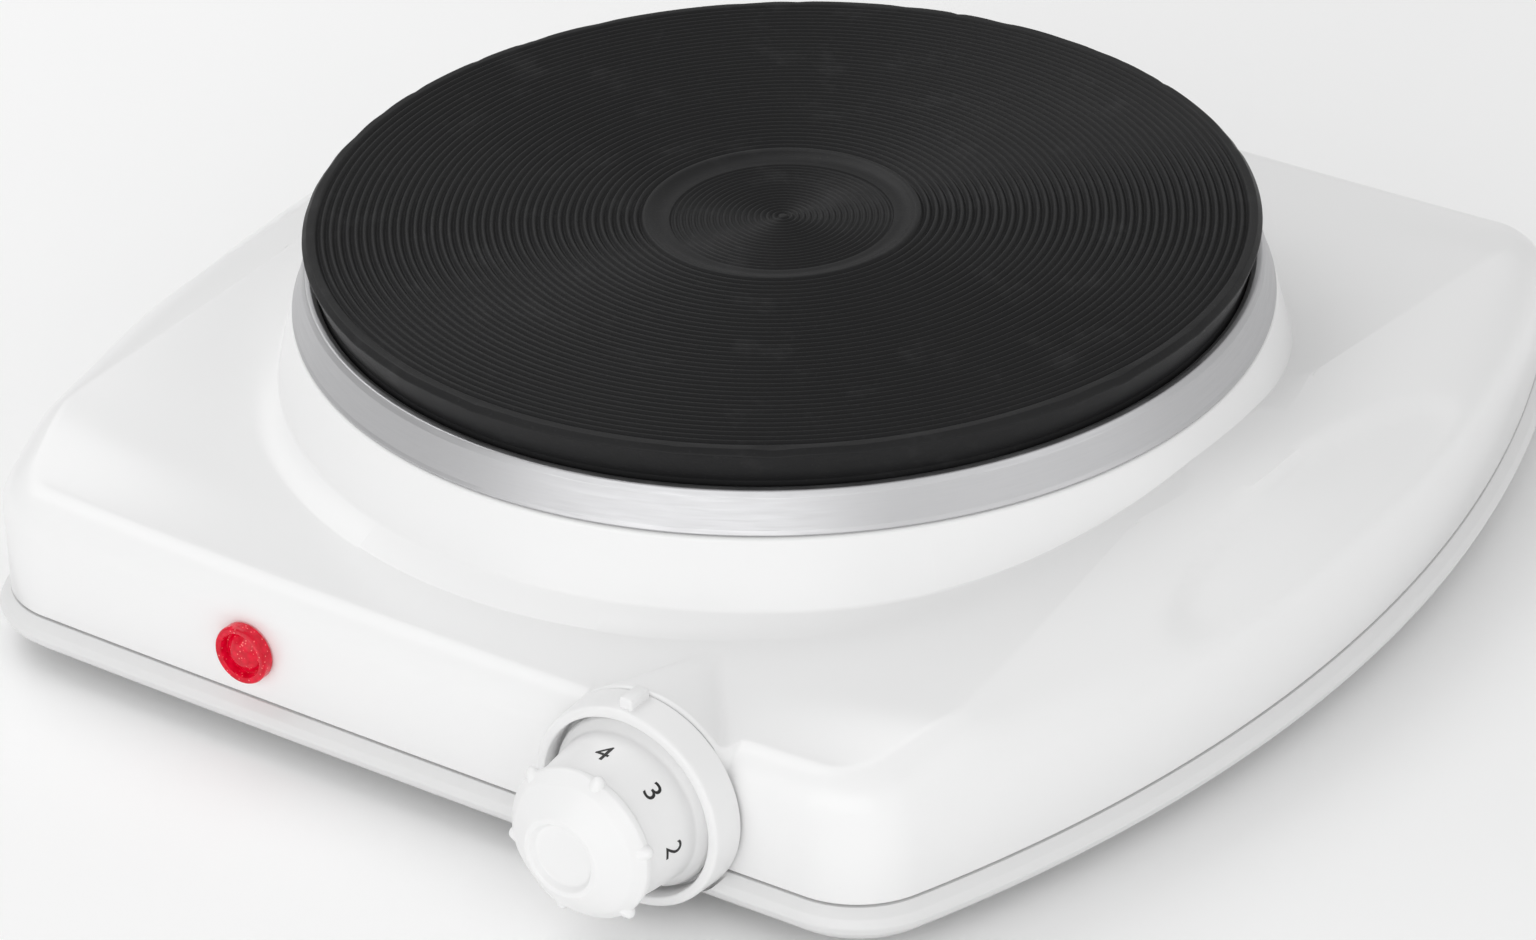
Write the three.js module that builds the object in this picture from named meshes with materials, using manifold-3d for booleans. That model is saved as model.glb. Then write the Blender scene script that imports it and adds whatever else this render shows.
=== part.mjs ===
// Single hot plate: a cast-iron cooking plate on a white pressed housing with a base tray.
// Millimetres, +Z up, +Y to the back, the control panel faces -Y.
// The origin is at the centre of the footprint, on the surface that the feet stand on.
import * as THREE from 'three';
import { mergeVertices } from 'three/addons/utils/BufferGeometryUtils.js';
import Module from 'manifold-3d';

const wasm = await Module();
wasm.setup();

// ---------- Driving dimensions ----------

const GAP = 0.3; // clearance between pieces that touch on the real object
const CUT = 1; // how far a cutting tool runs past the face it cuts

// Cooking plate
const PLATE_Y = 8.7; // plate axis, behind the middle of the footprint
const PLATE_TOP_Z = 70.4;
const PLATE_R = 93.3;
const PLATE_BOTTOM_Z = 54;
const PLATE_WALL_R = 90.9;
const RECESS_R = 26.4;
const RECESS_DEPTH = 1;
const COIL_CHAMBER_Z = 62;
const COIL_CHAMBER_INNER_R = 14;
const COIL_CHAMBER_OUTER_R = 80;

// Housing
const WALL_FRONT_Y = -115;
const WALL_BACK_Y = 139.5;
const WALL_SIDE_X = 127.2;
const FRONT_ARC_R = 5800;
const SIDE_ARC_R = 304;
const FRONT_CORNER_R = 18;
const BACK_CORNER_R = 15.5;
const SHEET = 1.6;
const DECK_Z = 35.4;
const EDGE_R = 7;
const SKIRT_Z = 12.2; // lower rim of the housing
const COLLAR_TOP_Z = 53.7;
const COLLAR_TOP_R = 96.2;
const COLLAR_HOLE_R = 87.5;
const COLLAR_FOOT_R = 104.5;

// The deck dips along its middle and rises to a ridge on each side, where a shoulder falls to the wall
const RIDGE_MIDDLE_X = 101;
const RIDGE_TOE_IN = 3.5; // how much wider the ridges stand at the front than in the middle
const RIDGE_REACH = 90; // along Y, where the toe-in and the fall below are reached
const RIDGE_TOP_Z = 49.6;
const RIDGE_FALL = 9.2;
const RIDGE_SOFTNESS = 12;
const SHOULDER_FOOT_Z = 30.4;
const SHOULDER_WIDEST = 27;
const FRONT_TAPER = 26;
const END_RISE = 0.35; // share of the side rise that is left at the front and back walls

// Base tray
const TRAY_TOP_Z = 11.7;
const TRAY_STEP_Z = 9.7;
const TRAY_BOTTOM_Z = 4;
const TRAY_FLOOR = 1.5;
const FLANGE_OUT = 2.5; // widest part of the tray, outside the housing wall
const TRAY_BOTTOM_IN = 1.3;

// Control knob and bezel
const KNOB_X = 56;
const KNOB_Z = 23.7;
const KNOB_FRONT_Y = -142;
const BEZEL_R = 20.5;
const BEZEL_BORE_R = 17.9;
const BEZEL_DEPTH = 7;
const BEZEL_FLOOR = 2;
const HOOD_R = 21.5;
const KNOB_SKIRT_R = 17.3;
const KNOB_GRIP_R = 14.6;
const NUB_COUNT = 6;
const NUB_R = 1.5;
const SHAFT_R = 3;

// Pilot lamp
const LAMP_X = -37;
const LAMP_Z = 22.4;
const LAMP_RIM_R = 6;
const LAMP_BARREL_R = 4.7;

// Cable outlet
const OUTLET_X = -40;
const OUTLET_Z = 20.2;
const OUTLET_BORE_R = 3.6;
const OUTLET_HOLE_R = 6.5;

// Feet
const FOOT_X = 84;
const FOOT_FRONT_Y = -93;
const FOOT_BACK_Y = 117.5;
const FOOT_R = 9;
const POST_R = 4.4;
const SCREW_R = 1.6;

// ---------- Materials ----------

const finish = (color, roughness, metalness = 0) =>
  new THREE.MeshStandardMaterial({ color, roughness, metalness });

const castIron = () => finish(0x1e1e1f, 0.62);
const whiteEnamel = () => finish(0xf2f2f2, 0.3);
const whitePlastic = () => finish(0xf4f4f3, 0.38);
const satinSteel = () => finish(0xb9babc, 0.32, 0.9);
const zincSteel = () => finish(0xa8abae, 0.42, 0.9);
const brass = () => finish(0xc2a25a, 0.35, 0.9);
const ceramic = () => finish(0xe6e1d4, 0.6);
const mica = () => finish(0xb9a684, 0.7);
const rubber = () => finish(0x2b2b2b, 0.85);
const bakelite = () => finish(0x3a2a22, 0.5);
const redLens = () => finish(0xd0142c, 0.15);
const glass = () => finish(0xe8e8e8, 0.1);
const silicone = (color) => finish(color, 0.6);

// ---------- Geometry helpers ----------

function solidOf(geometry) {
  const bare = geometry.clone();
  bare.deleteAttribute('normal');
  bare.deleteAttribute('uv');
  const merged = mergeVertices(bare, 1e-4);
  const mesh = new wasm.Mesh({
    numProp: 3,
    vertProperties: new Float32Array(merged.attributes.position.array),
    triVerts: new Uint32Array(merged.index.array),
  });
  return new wasm.Manifold(mesh);
}

function geometryOf(manifold) {
  const mesh = manifold.getMesh();
  const geometry = new THREE.BufferGeometry();
  const positions = new Float32Array(mesh.vertProperties);
  geometry.setAttribute('position', new THREE.BufferAttribute(positions, 3));
  geometry.setIndex(new THREE.BufferAttribute(new Uint32Array(mesh.triVerts), 1));
  geometry.computeVertexNormals();
  return geometry;
}

function cut(geometry, ...tools) {
  return geometryOf(tools.reduce((solid, tool) => solid.subtract(solidOf(tool)), solidOf(geometry)));
}

function join(geometry, ...others) {
  return geometryOf(others.reduce((solid, other) => solid.add(solidOf(other)), solidOf(geometry)));
}

// A solid of revolution round Z, from [radius, z] points given bottom to top on the outside.
function turned(points, segments = 32) {
  const profile = points.map(([r, z]) => new THREE.Vector2(r, z));
  return new THREE.LatheGeometry(profile, segments).rotateX(Math.PI / 2);
}

// A washer or tube round Z; innerR of 0 gives a plain cylinder.
function ring(innerR, outerR, bottom, top, segments = 24) {
  const outside = [[innerR, bottom], [outerR, bottom], [outerR, top], [innerR, top]];
  return turned(innerR > 0 ? [...outside, [innerR, bottom]] : outside, segments);
}

// Turns a solid made round Z so that its bottom faces the front and its z runs to the back.
function towardsBack(geometry, x, z) {
  return geometry.rotateX(-Math.PI / 2).translate(x, 0, z);
}

function box(minX, maxX, minY, maxY, minZ, maxZ) {
  const geometry = new THREE.BoxGeometry(maxX - minX, maxY - minY, maxZ - minZ);
  return geometry.translate((minX + maxX) / 2, (minY + maxY) / 2, (minZ + maxZ) / 2);
}

// A closed skin over rings of points. With no caps the last ring joins the first one.
function skin(rings, caps = null) {
  const count = rings[0].length;
  const positions = rings.flat().flat();
  const index = [];
  const at = (ringNumber, j) => (ringNumber % rings.length) * count + (j % count);
  const bands = caps ? rings.length - 1 : rings.length;
  for (let i = 0; i < bands; i += 1) {
    for (let j = 0; j < count; j += 1) {
      index.push(at(i, j), at(i + 1, j), at(i + 1, j + 1));
      index.push(at(i, j), at(i + 1, j + 1), at(i, j + 1));
    }
  }
  if (caps) {
    const first = positions.length / 3;
    positions.push(...caps[0], ...caps[1]);
    for (let j = 0; j < count; j += 1) {
      index.push(first, at(0, j), at(0, j + 1));
      index.push(first + 1, at(rings.length - 1, j + 1), at(rings.length - 1, j));
    }
  }
  const geometry = new THREE.BufferGeometry();
  geometry.setAttribute('position', new THREE.Float32BufferAttribute(positions, 3));
  geometry.setIndex(index);
  geometry.computeVertexNormals();
  return geometry;
}

const assembly = new THREE.Group();

function add(name, geometry, material) {
  const mesh = new THREE.Mesh(geometry, material);
  mesh.name = name;
  assembly.add(mesh);
  return mesh;
}

// ---------- Outline of the housing wall ----------
// Five tangent arcs make the right half: front, front corner, side, back corner and back.

function cornerCentre(sideCentre, sideR, endCentre, endR, cornerR, isFront) {
  const reachSide = sideR - cornerR;
  const reachEnd = endR - cornerR;
  const gapX = endCentre.x - sideCentre.x;
  const gapY = endCentre.y - sideCentre.y;
  const apart = Math.hypot(gapX, gapY);
  const along = (reachSide ** 2 - reachEnd ** 2 + apart ** 2) / (2 * apart);
  const across = Math.sqrt(reachSide ** 2 - along ** 2);
  const choices = [1, -1].map((sign) => new THREE.Vector2(
    sideCentre.x + (along * gapX - sign * across * gapY) / apart,
    sideCentre.y + (along * gapY + sign * across * gapX) / apart,
  ));
  return choices.find((p) => p.x > 0 && (isFront ? p.y < PLATE_Y : p.y > PLATE_Y));
}

function outlineArcs() {
  const front = new THREE.Vector2(0, WALL_FRONT_Y + FRONT_ARC_R);
  const back = new THREE.Vector2(0, WALL_BACK_Y - FRONT_ARC_R);
  const side = new THREE.Vector2(WALL_SIDE_X - SIDE_ARC_R, PLATE_Y);
  const frontCorner = cornerCentre(side, SIDE_ARC_R, front, FRONT_ARC_R, FRONT_CORNER_R, true);
  const backCorner = cornerCentre(side, SIDE_ARC_R, back, FRONT_ARC_R, BACK_CORNER_R, false);
  const heading = (from, to) => Math.atan2(to.y - from.y, to.x - from.x);
  const turns = [
    -Math.PI / 2,
    heading(front, frontCorner),
    heading(side, frontCorner),
    heading(side, backCorner),
    heading(back, backCorner),
    Math.PI / 2,
  ];
  const centres = [front, frontCorner, side, backCorner, back];
  const radii = [FRONT_ARC_R, FRONT_CORNER_R, SIDE_ARC_R, BACK_CORNER_R, FRONT_ARC_R];
  const steps = [5, 4, 11, 4, 5];
  return centres.map((centre, i) => (
    { centre, radius: radii[i], from: turns[i], to: turns[i + 1], steps: steps[i] }
  ));
}

function rightHalf(arcs) {
  return arcs.flatMap(({ centre, radius, from, to, steps }) => (
    Array.from({ length: steps }, (_, i) => {
      const angle = from + ((to - from) * i) / steps;
      return { centre, radius, angle };
    })
  ));
}

function wholeOutline() {
  const right = rightHalf(outlineArcs()).map(({ centre, radius, angle }) => ({
    x: centre.x + radius * Math.cos(angle),
    y: centre.y + radius * Math.sin(angle),
    outX: Math.cos(angle),
    outY: Math.sin(angle),
  }));
  const backMiddle = { x: 0, y: WALL_BACK_Y, outX: 0, outY: 1 };
  const left = right.slice(1).reverse().map(({ x, y, outX, outY }) => ({ x: -x, y, outX: -outX, outY }));
  return [...right, backMiddle, ...left];
}

const WALL = wholeOutline();

// Points of the wall moved outwards by one distance, or by one distance for each point.
function outline(outwards) {
  return WALL.map(({ x, y, outX, outY }, i) => {
    const distance = Array.isArray(outwards) ? outwards[i] : outwards;
    return [x + outX * distance, y + outY * distance];
  });
}

const level = (points, z) => points.map(([x, y]) => [x, y, z]);

const shrunk = (points, share) => points.map(([x, y]) => [x * share, PLATE_Y + (y - PLATE_Y) * share]);

// ---------- Top surface ----------

const clamp = (value, low, high) => Math.min(Math.max(value, low), high);

function smoothStep(value) {
  const t = clamp(value, 0, 1);
  return t * t * (3 - 2 * t);
}

function ridgeX(y) {
  return RIDGE_MIDDLE_X - RIDGE_TOE_IN * clamp((y - PLATE_Y) / RIDGE_REACH, -1, 1);
}

function ridgeHeight(y) {
  const away = Math.hypot(y - PLATE_Y, RIDGE_SOFTNESS);
  const fall = (away ** 0.8 - RIDGE_SOFTNESS ** 0.8) / RIDGE_REACH ** 0.8;
  return RIDGE_TOP_Z - RIDGE_FALL * fall;
}

function deckHeight(x, y) {
  const rise = (ridgeHeight(y) - DECK_Z) * clamp(Math.abs(x) / ridgeX(y), 0, 1) ** 2;
  const taper = smoothStep((y - WALL_FRONT_Y) / FRONT_TAPER) * smoothStep((WALL_BACK_Y - y) / FRONT_TAPER);
  return DECK_Z + rise * (END_RISE + (1 - END_RISE) * taper);
}

// The hood is a cone from the collar foot that widens to the arc of the knob bezel.
const HOOD_TIP_X = 51;
const HOOD_TIP_Y = -83;
const HOOD_START = 0.05;

function hoodHeight(x, y) {
  const share = (HOOD_TIP_Y - y) / (HOOD_TIP_Y - WALL_FRONT_Y);
  if (share <= HOOD_START) {
    return DECK_Z;
  }
  const sideways = (x - HOOD_TIP_X) / share + HOOD_TIP_X - KNOB_X;
  const inside = HOOD_R ** 2 - sideways ** 2;
  const arc = inside > 0 ? Math.sqrt(inside) + KNOB_Z - DECK_Z : 0;
  return DECK_Z + share * Math.max(arc, 0);
}

function topHeight(x, y) {
  return Math.max(deckHeight(x, y), hoodHeight(x, y));
}

// 1 on the side walls, 0 on the front and back walls.
const SIDE_SHARE = WALL.map(({ outX }) => smoothStep((Math.abs(outX) - 0.15) / 0.75));

const SHOULDER_WIDTH = WALL.map(({ x, y }, i) => {
  const width = clamp(Math.abs(x) - ridgeX(y), EDGE_R, SHOULDER_WIDEST);
  return EDGE_R + SIDE_SHARE[i] * (width - EDGE_R);
});

const WALL_TOP_Z = SIDE_SHARE.map((share) => (
  DECK_Z - EDGE_R + share * (SHOULDER_FOOT_Z - DECK_Z + EDGE_R)
));

// ---------- Housing ----------

// Each collar step is [radius, height]; where the deck stands higher, it wins.
const COLLAR_PROFILE = [
  [COLLAR_HOLE_R, COLLAR_TOP_Z],
  [COLLAR_TOP_R - 1.2, COLLAR_TOP_Z],
  [COLLAR_TOP_R, COLLAR_TOP_Z - 1.2],
  [99.3, 40.6],
  [100.7, 37.6],
  [COLLAR_FOOT_R, DECK_Z],
];
const OUTER_STEPS = 4; // rings over the deck, and again over the shoulder
const INNER_STEPS = 3;

function housingSurface(inwards, steps) {
  const wall = outline(-inwards);
  const edge = outline(SHOULDER_WIDTH.map((width) => -width));
  const bearing = wall.map(([x, y]) => Math.atan2(y - PLATE_Y, x));
  const rings = COLLAR_PROFILE.map(([radius, height], step) => bearing.map((angle) => {
    const r = step === 0 ? radius : radius - inwards;
    const x = r * Math.cos(angle);
    const y = PLATE_Y + r * Math.sin(angle);
    const surface = step < 2 ? height : Math.max(height, topHeight(x, y));
    return [x, y, surface - inwards];
  }));
  const foot = rings[rings.length - 1];
  for (let i = 1; i <= steps; i += 1) {
    const share = i / steps;
    rings.push(foot.map(([footX, footY], j) => {
      const x = footX + (edge[j][0] - footX) * share;
      const y = footY + (edge[j][1] - footY) * share;
      return [x, y, topHeight(x, y) - inwards];
    }));
  }
  const crest = rings[rings.length - 1];
  for (let i = 1; i <= steps; i += 1) {
    const angle = (i / steps) * (Math.PI / 2);
    const run = Math.sin(angle);
    const spots = outline(SHOULDER_WIDTH.map((width) => -width * (1 - run) - inwards * run));
    rings.push(spots.map(([x, y], j) => {
      const crestZ = crest[j][2] + inwards;
      const z = WALL_TOP_Z[j] + (crestZ - WALL_TOP_Z[j]) * Math.cos(angle);
      return [x, y, z - inwards * Math.cos(angle)];
    }));
  }
  rings.push(level(wall, SKIRT_Z));
  return rings;
}

function fastenerPost(x, y) {
  const topZ = topHeight(x, y) - SHEET / 2;
  return ring(0, POST_R, TRAY_BOTTOM_Z + TRAY_FLOOR + GAP, topZ, 16).translate(x, y, 0);
}

const FOOT_PLACES = {
  front_left: [-FOOT_X, FOOT_FRONT_Y],
  front_right: [FOOT_X, FOOT_FRONT_Y],
  back_left: [-FOOT_X, FOOT_BACK_Y],
  back_right: [FOOT_X, FOOT_BACK_Y],
};
const SCREW_HOLE_R = SCREW_R + GAP;
const SCREW_TIP_Z = 17;
const THERMOSTAT_SCREW_X = [KNOB_X - 10, KNOB_X + 10];

function housing() {
  const outside = housingSurface(0, OUTER_STEPS);
  const inside = housingSurface(SHEET, INNER_STEPS).reverse();
  const shell = skin([...outside, ...inside]);
  const places = Object.values(FOOT_PLACES);
  const withPosts = join(shell, ...places.map(([x, y]) => fastenerPost(x, y)));
  const screwHoles = places.map(([x, y]) => (
    ring(0, SCREW_HOLE_R, 0, SCREW_TIP_Z + GAP, 12).translate(x, y, 0)
  ));
  const frontBore = (radius, x, z) => (
    towardsBack(ring(0, radius, WALL_FRONT_Y - CUT, WALL_FRONT_Y + SHEET + CUT, 20), x, z)
  );
  const backBore = towardsBack(
    ring(0, OUTLET_HOLE_R, WALL_BACK_Y - SHEET - CUT, WALL_BACK_Y + CUT, 20), OUTLET_X, OUTLET_Z);
  return cut(
    withPosts,
    ...screwHoles,
    frontBore(SHAFT_R + 2, KNOB_X, KNOB_Z),
    ...THERMOSTAT_SCREW_X.map((x) => frontBore(SCREW_HOLE_R, x, KNOB_Z)),
    frontBore(LAMP_BARREL_R + GAP, LAMP_X, LAMP_Z),
    backBore,
  );
}

add('top_housing', housing(), whiteEnamel());

// ---------- Base tray ----------

const VENT_COUNT = 7;
const VENT_PITCH = 11;
const VENT_WIDTH = 4;
const VENT_LENGTH = 46;

function baseTray() {
  const floorZ = TRAY_BOTTOM_Z + TRAY_FLOOR;
  const rings = [
    level(shrunk(outline(0), 0.5), floorZ),
    level(outline(-4.2), floorZ),
    level(outline(-2.2), floorZ + 2),
    level(outline(-2.2), TRAY_TOP_Z),
    level(outline(0.2), TRAY_TOP_Z),
    level(outline(0.5), TRAY_STEP_Z),
    level(outline(FLANGE_OUT - 0.6), TRAY_STEP_Z),
    level(outline(FLANGE_OUT), TRAY_STEP_Z - 0.8),
    level(outline(FLANGE_OUT - 0.9), TRAY_STEP_Z - 3),
    level(outline(-TRAY_BOTTOM_IN), TRAY_BOTTOM_Z),
    level(shrunk(outline(0), 0.5), TRAY_BOTTOM_Z),
  ];
  const tray = skin(rings, [[0, PLATE_Y, floorZ], [0, PLATE_Y, TRAY_BOTTOM_Z]]);
  const vents = Array.from({ length: VENT_COUNT }, (_, i) => {
    const y = PLATE_Y + (i - (VENT_COUNT - 1) / 2) * VENT_PITCH;
    return box(-VENT_LENGTH / 2, VENT_LENGTH / 2, y - VENT_WIDTH / 2, y + VENT_WIDTH / 2,
      TRAY_BOTTOM_Z - CUT, floorZ + CUT);
  });
  const screwHoles = Object.values(FOOT_PLACES).map(([x, y]) => (
    ring(0, SCREW_HOLE_R, 0, TRAY_TOP_Z, 12).translate(x, y, 0)
  ));
  const bezelNotch = towardsBack(
    ring(0, BEZEL_R + 0.6, WALL_FRONT_Y - 10, WALL_FRONT_Y, 32), KNOB_X, KNOB_Z);
  return cut(tray, ...vents, ...screwHoles, bezelNotch);
}

add('base_tray', baseTray(), whitePlastic());

// ---------- Feet ----------

const FOOT_TOP_Z = TRAY_BOTTOM_Z - GAP;
const SCREW_HEAD_R = 3.2;
const SCREW_HEAD_BOTTOM_Z = 0.9;
const SCREW_HEAD_TOP_Z = 2.1;

function foot() {
  return turned([
    [SCREW_HEAD_R + 0.6, 0],
    [FOOT_R - 0.8, 0],
    [FOOT_R, 0.8],
    [FOOT_R, FOOT_TOP_Z],
    [SCREW_HOLE_R, FOOT_TOP_Z],
    [SCREW_HOLE_R, SCREW_HEAD_TOP_Z + GAP],
    [SCREW_HEAD_R + 0.6, SCREW_HEAD_TOP_Z + GAP],
    [SCREW_HEAD_R + 0.6, 0],
  ], 16);
}

function housingScrew() {
  return turned([
    [0, SCREW_HEAD_BOTTOM_Z],
    [SCREW_HEAD_R, SCREW_HEAD_BOTTOM_Z],
    [SCREW_HEAD_R, SCREW_HEAD_TOP_Z],
    [SCREW_R, SCREW_HEAD_TOP_Z],
    [SCREW_R, SCREW_TIP_Z - 1.5],
    [0, SCREW_TIP_Z],
  ], 12);
}

for (const [place, [x, y]] of Object.entries(FOOT_PLACES)) {
  add(`foot_${place}`, foot(), rubber()).position.set(x, y, 0);
  add(`housing_screw_${place}`, housingScrew(), zincSteel()).position.set(x, y, 0);
}

// ---------- Cooking plate and what it carries ----------

const plateUnit = new THREE.Group();
plateUnit.position.set(0, PLATE_Y, 0);
assembly.add(plateUnit);

function addToPlate(name, geometry, material) {
  plateUnit.add(add(name, geometry, material));
}

const STUD_R = 3;
const STUD_TOP_Z = 61.7;
const STUD_BOTTOM_Z = 23;

function plateCasting() {
  const boreR = STUD_R + GAP;
  return turned([
    [0, STUD_TOP_Z + GAP],
    [boreR, STUD_TOP_Z + GAP],
    [boreR, PLATE_BOTTOM_Z],
    [COIL_CHAMBER_INNER_R, PLATE_BOTTOM_Z],
    [COIL_CHAMBER_INNER_R, COIL_CHAMBER_Z],
    [COIL_CHAMBER_OUTER_R, COIL_CHAMBER_Z],
    [COIL_CHAMBER_OUTER_R, PLATE_BOTTOM_Z],
    [PLATE_WALL_R - 3, PLATE_BOTTOM_Z],
    [PLATE_WALL_R, PLATE_BOTTOM_Z + 3],
    [PLATE_WALL_R, 64.5],
    [PLATE_R, PLATE_TOP_Z - 1.2],
    [PLATE_R - 1.2, PLATE_TOP_Z],
    [RECESS_R, PLATE_TOP_Z],
    [RECESS_R - 0.6, PLATE_TOP_Z - RECESS_DEPTH],
    [0, PLATE_TOP_Z - RECESS_DEPTH],
  ], 44);
}

addToPlate('hot_plate_casting', plateCasting(), castIron());

// The ring hugs the plate with a rolled lip and spreads down to the collar.
const LIP_R = PLATE_WALL_R + GAP;
const RING_FOOT_Z = COLLAR_TOP_Z + GAP;

addToPlate('overflow_ring', turned([
  [LIP_R, 60.7],
  [COLLAR_TOP_R - 1.2, RING_FOOT_Z],
  [COLLAR_TOP_R, RING_FOOT_Z],
  [93.6, 61.4],
  [92.6, 62.2],
  [91.6, 62.2],
  [LIP_R, 61.6],
  [LIP_R, 60.7],
], 44), satinSteel());

const COIL_SECTION_R = 2.4;
const COIL_Z = 58.8;

function coil(radius) {
  return new THREE.TorusGeometry(radius, COIL_SECTION_R, 6, 26).translate(0, 0, COIL_Z);
}

addToPlate('heating_coil_inner', coil(32), zincSteel());
addToPlate('heating_coil_middle', coil(49), zincSteel());
addToPlate('heating_coil_outer', coil(66), zincSteel());

const DISC_BOTTOM_Z = PLATE_BOTTOM_Z + 0.4;
const DISC_TOP_Z = DISC_BOTTOM_Z + 1.6;
addToPlate('insulation_disc', ring(
  COIL_CHAMBER_INNER_R + 1, COIL_CHAMBER_OUTER_R - 1, DISC_BOTTOM_Z, DISC_TOP_Z, 28,
), mica());

const PAN_TOP_Z = PLATE_BOTTOM_Z - GAP;
const PAN_SHEET = 0.8;
const PAN_R = 84;

addToPlate('plate_cover_pan', turned([
  [STUD_R + GAP, PAN_TOP_Z - PAN_SHEET],
  [PAN_R, PAN_TOP_Z - PAN_SHEET],
  [PAN_R, PAN_TOP_Z],
  [STUD_R + GAP, PAN_TOP_Z],
  [STUD_R + GAP, PAN_TOP_Z - PAN_SHEET],
], 28), zincSteel());

addToPlate('centre_stud', ring(0, STUD_R, STUD_BOTTOM_Z, STUD_TOP_Z, 16), zincSteel());

const BRIDGE_BOTTOM_Z = 31.4;
const BRIDGE_TOP_Z = 33.4;
const BRIDGE_HALF_LENGTH = 112;
const BRIDGE_HALF_WIDTH = 12;
const SHIELD_Z = BRIDGE_TOP_Z + GAP;
const SHIELD_SHEET = 0.8;
const TERMINAL_X = 17;
const TERMINAL_Y = -40;

function heatShield() {
  const dish = turned([
    [STUD_R + GAP, SHIELD_Z],
    [62, SHIELD_Z],
    [84, 46.5],
    [84, 46.5 + SHIELD_SHEET],
    [61.6, SHIELD_Z + SHIELD_SHEET],
    [STUD_R + GAP, SHIELD_Z + SHIELD_SHEET],
    [STUD_R + GAP, SHIELD_Z],
  ], 28);
  const holes = [-TERMINAL_X, TERMINAL_X].map((x) => (
    ring(0, 3.2, SHIELD_Z - CUT, SHIELD_Z + SHIELD_SHEET + CUT, 12).translate(x, TERMINAL_Y, 0)
  ));
  return cut(dish, ...holes);
}

addToPlate('heat_shield', heatShield(), zincSteel());

const SPACER_BOTTOM_Z = SHIELD_Z + SHIELD_SHEET + GAP;
const SPACER_TOP_Z = PAN_TOP_Z - PAN_SHEET - GAP;
const SPACER_R = STUD_R + 3;
addToPlate('stud_spacer', ring(STUD_R + GAP, SPACER_R, SPACER_BOTTOM_Z, SPACER_TOP_Z, 16), zincSteel());

function clampBridge() {
  const bar = box(-BRIDGE_HALF_WIDTH, BRIDGE_HALF_WIDTH, -BRIDGE_HALF_LENGTH, BRIDGE_HALF_LENGTH,
    BRIDGE_BOTTOM_Z, BRIDGE_TOP_Z);
  const studHole = ring(0, STUD_R + GAP, 0, 60, 16);
  const earthHole = ring(0, SCREW_HOLE_R, 0, 60, 12).translate(0, EARTH_Y, 0);
  return cut(bar, studHole, earthHole);
}

const EARTH_Y = 55;
addToPlate('clamp_bridge', clampBridge(), zincSteel());

const WASHER_TOP_Z = BRIDGE_BOTTOM_Z - GAP;
const WASHER_THICKNESS = 1.4;
const NUT_HEIGHT = 5;
const NUT_TOP_Z = WASHER_TOP_Z - WASHER_THICKNESS - GAP;
const WASHER_R = 8;
const NUT_R = 5.8; // across its corners, halved
addToPlate('stud_washer', ring(
  STUD_R + GAP, WASHER_R, WASHER_TOP_Z - WASHER_THICKNESS, WASHER_TOP_Z, 20,
), zincSteel());
addToPlate('stud_nut', cut(
  ring(0, NUT_R, NUT_TOP_Z - NUT_HEIGHT, NUT_TOP_Z, 6),
  ring(0, STUD_R + GAP, NUT_TOP_Z - NUT_HEIGHT - CUT, NUT_TOP_Z + CUT, 16),
), zincSteel());

// Ceramic beads lead the coil ends down through the shield.
const BEAD_TOP_Z = SPACER_TOP_Z;
const PIN_TIP_Z = 27;

function heaterTerminal() {
  return turned([
    [0, PIN_TIP_Z],
    [1.1, PIN_TIP_Z],
    [1.1, 36],
    [2.8, 36],
    [2.8, BEAD_TOP_Z],
    [0, BEAD_TOP_Z],
  ], 12);
}

for (const [side, x] of [['left', -TERMINAL_X], ['right', TERMINAL_X]]) {
  plateUnit.add(add(`heater_terminal_${side}`, heaterTerminal(), ceramic()));
  assembly.getObjectByName(`heater_terminal_${side}`).position.set(x, TERMINAL_Y, 0);
}

const CUTOUT_X = 40;
const CUTOUT_R = 7;
const CUTOUT_CAP_R = 9;
addToPlate('thermal_cutout', ring(
  0, CUTOUT_R, SPACER_TOP_Z - 6, SPACER_TOP_Z, 20,
).translate(CUTOUT_X, 0, 0), bakelite());
addToPlate('cutout_cap', ring(
  CUTOUT_R + GAP, CUTOUT_CAP_R, SPACER_TOP_Z - 4, SPACER_TOP_Z, 20,
).translate(CUTOUT_X, 0, 0), zincSteel());

const EARTH_TAB_TOP_Z = BRIDGE_BOTTOM_Z - GAP;
const EARTH_TAB_BOTTOM_Z = EARTH_TAB_TOP_Z - 1;
const EARTH_TAB = cut(
  box(-5, 5, EARTH_Y - 5, EARTH_Y + 12, EARTH_TAB_BOTTOM_Z, EARTH_TAB_TOP_Z),
  ring(0, SCREW_HOLE_R, 0, 60, 12).translate(0, EARTH_Y, 0),
);
addToPlate('earth_tab', EARTH_TAB, brass());
addToPlate('earth_screw', turned([
  [0, EARTH_TAB_BOTTOM_Z - GAP - 2],
  [3.2, EARTH_TAB_BOTTOM_Z - GAP - 2],
  [3.2, EARTH_TAB_BOTTOM_Z - GAP],
  [SCREW_R, EARTH_TAB_BOTTOM_Z - GAP],
  [SCREW_R, BRIDGE_TOP_Z - 0.1],
  [0, BRIDGE_TOP_Z - 0.1],
], 12).translate(0, EARTH_Y, 0), brass());

// ---------- Knob, bezel and thermostat ----------

const BEZEL_BACK_Y = WALL_FRONT_Y - GAP;
const BEZEL_FRONT_Y = BEZEL_BACK_Y - BEZEL_DEPTH;
const BEZEL_FLOOR_Y = BEZEL_BACK_Y - BEZEL_FLOOR;

function turnedToFront(points, segments) {
  return towardsBack(turned(points, segments), KNOB_X, KNOB_Z);
}

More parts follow.
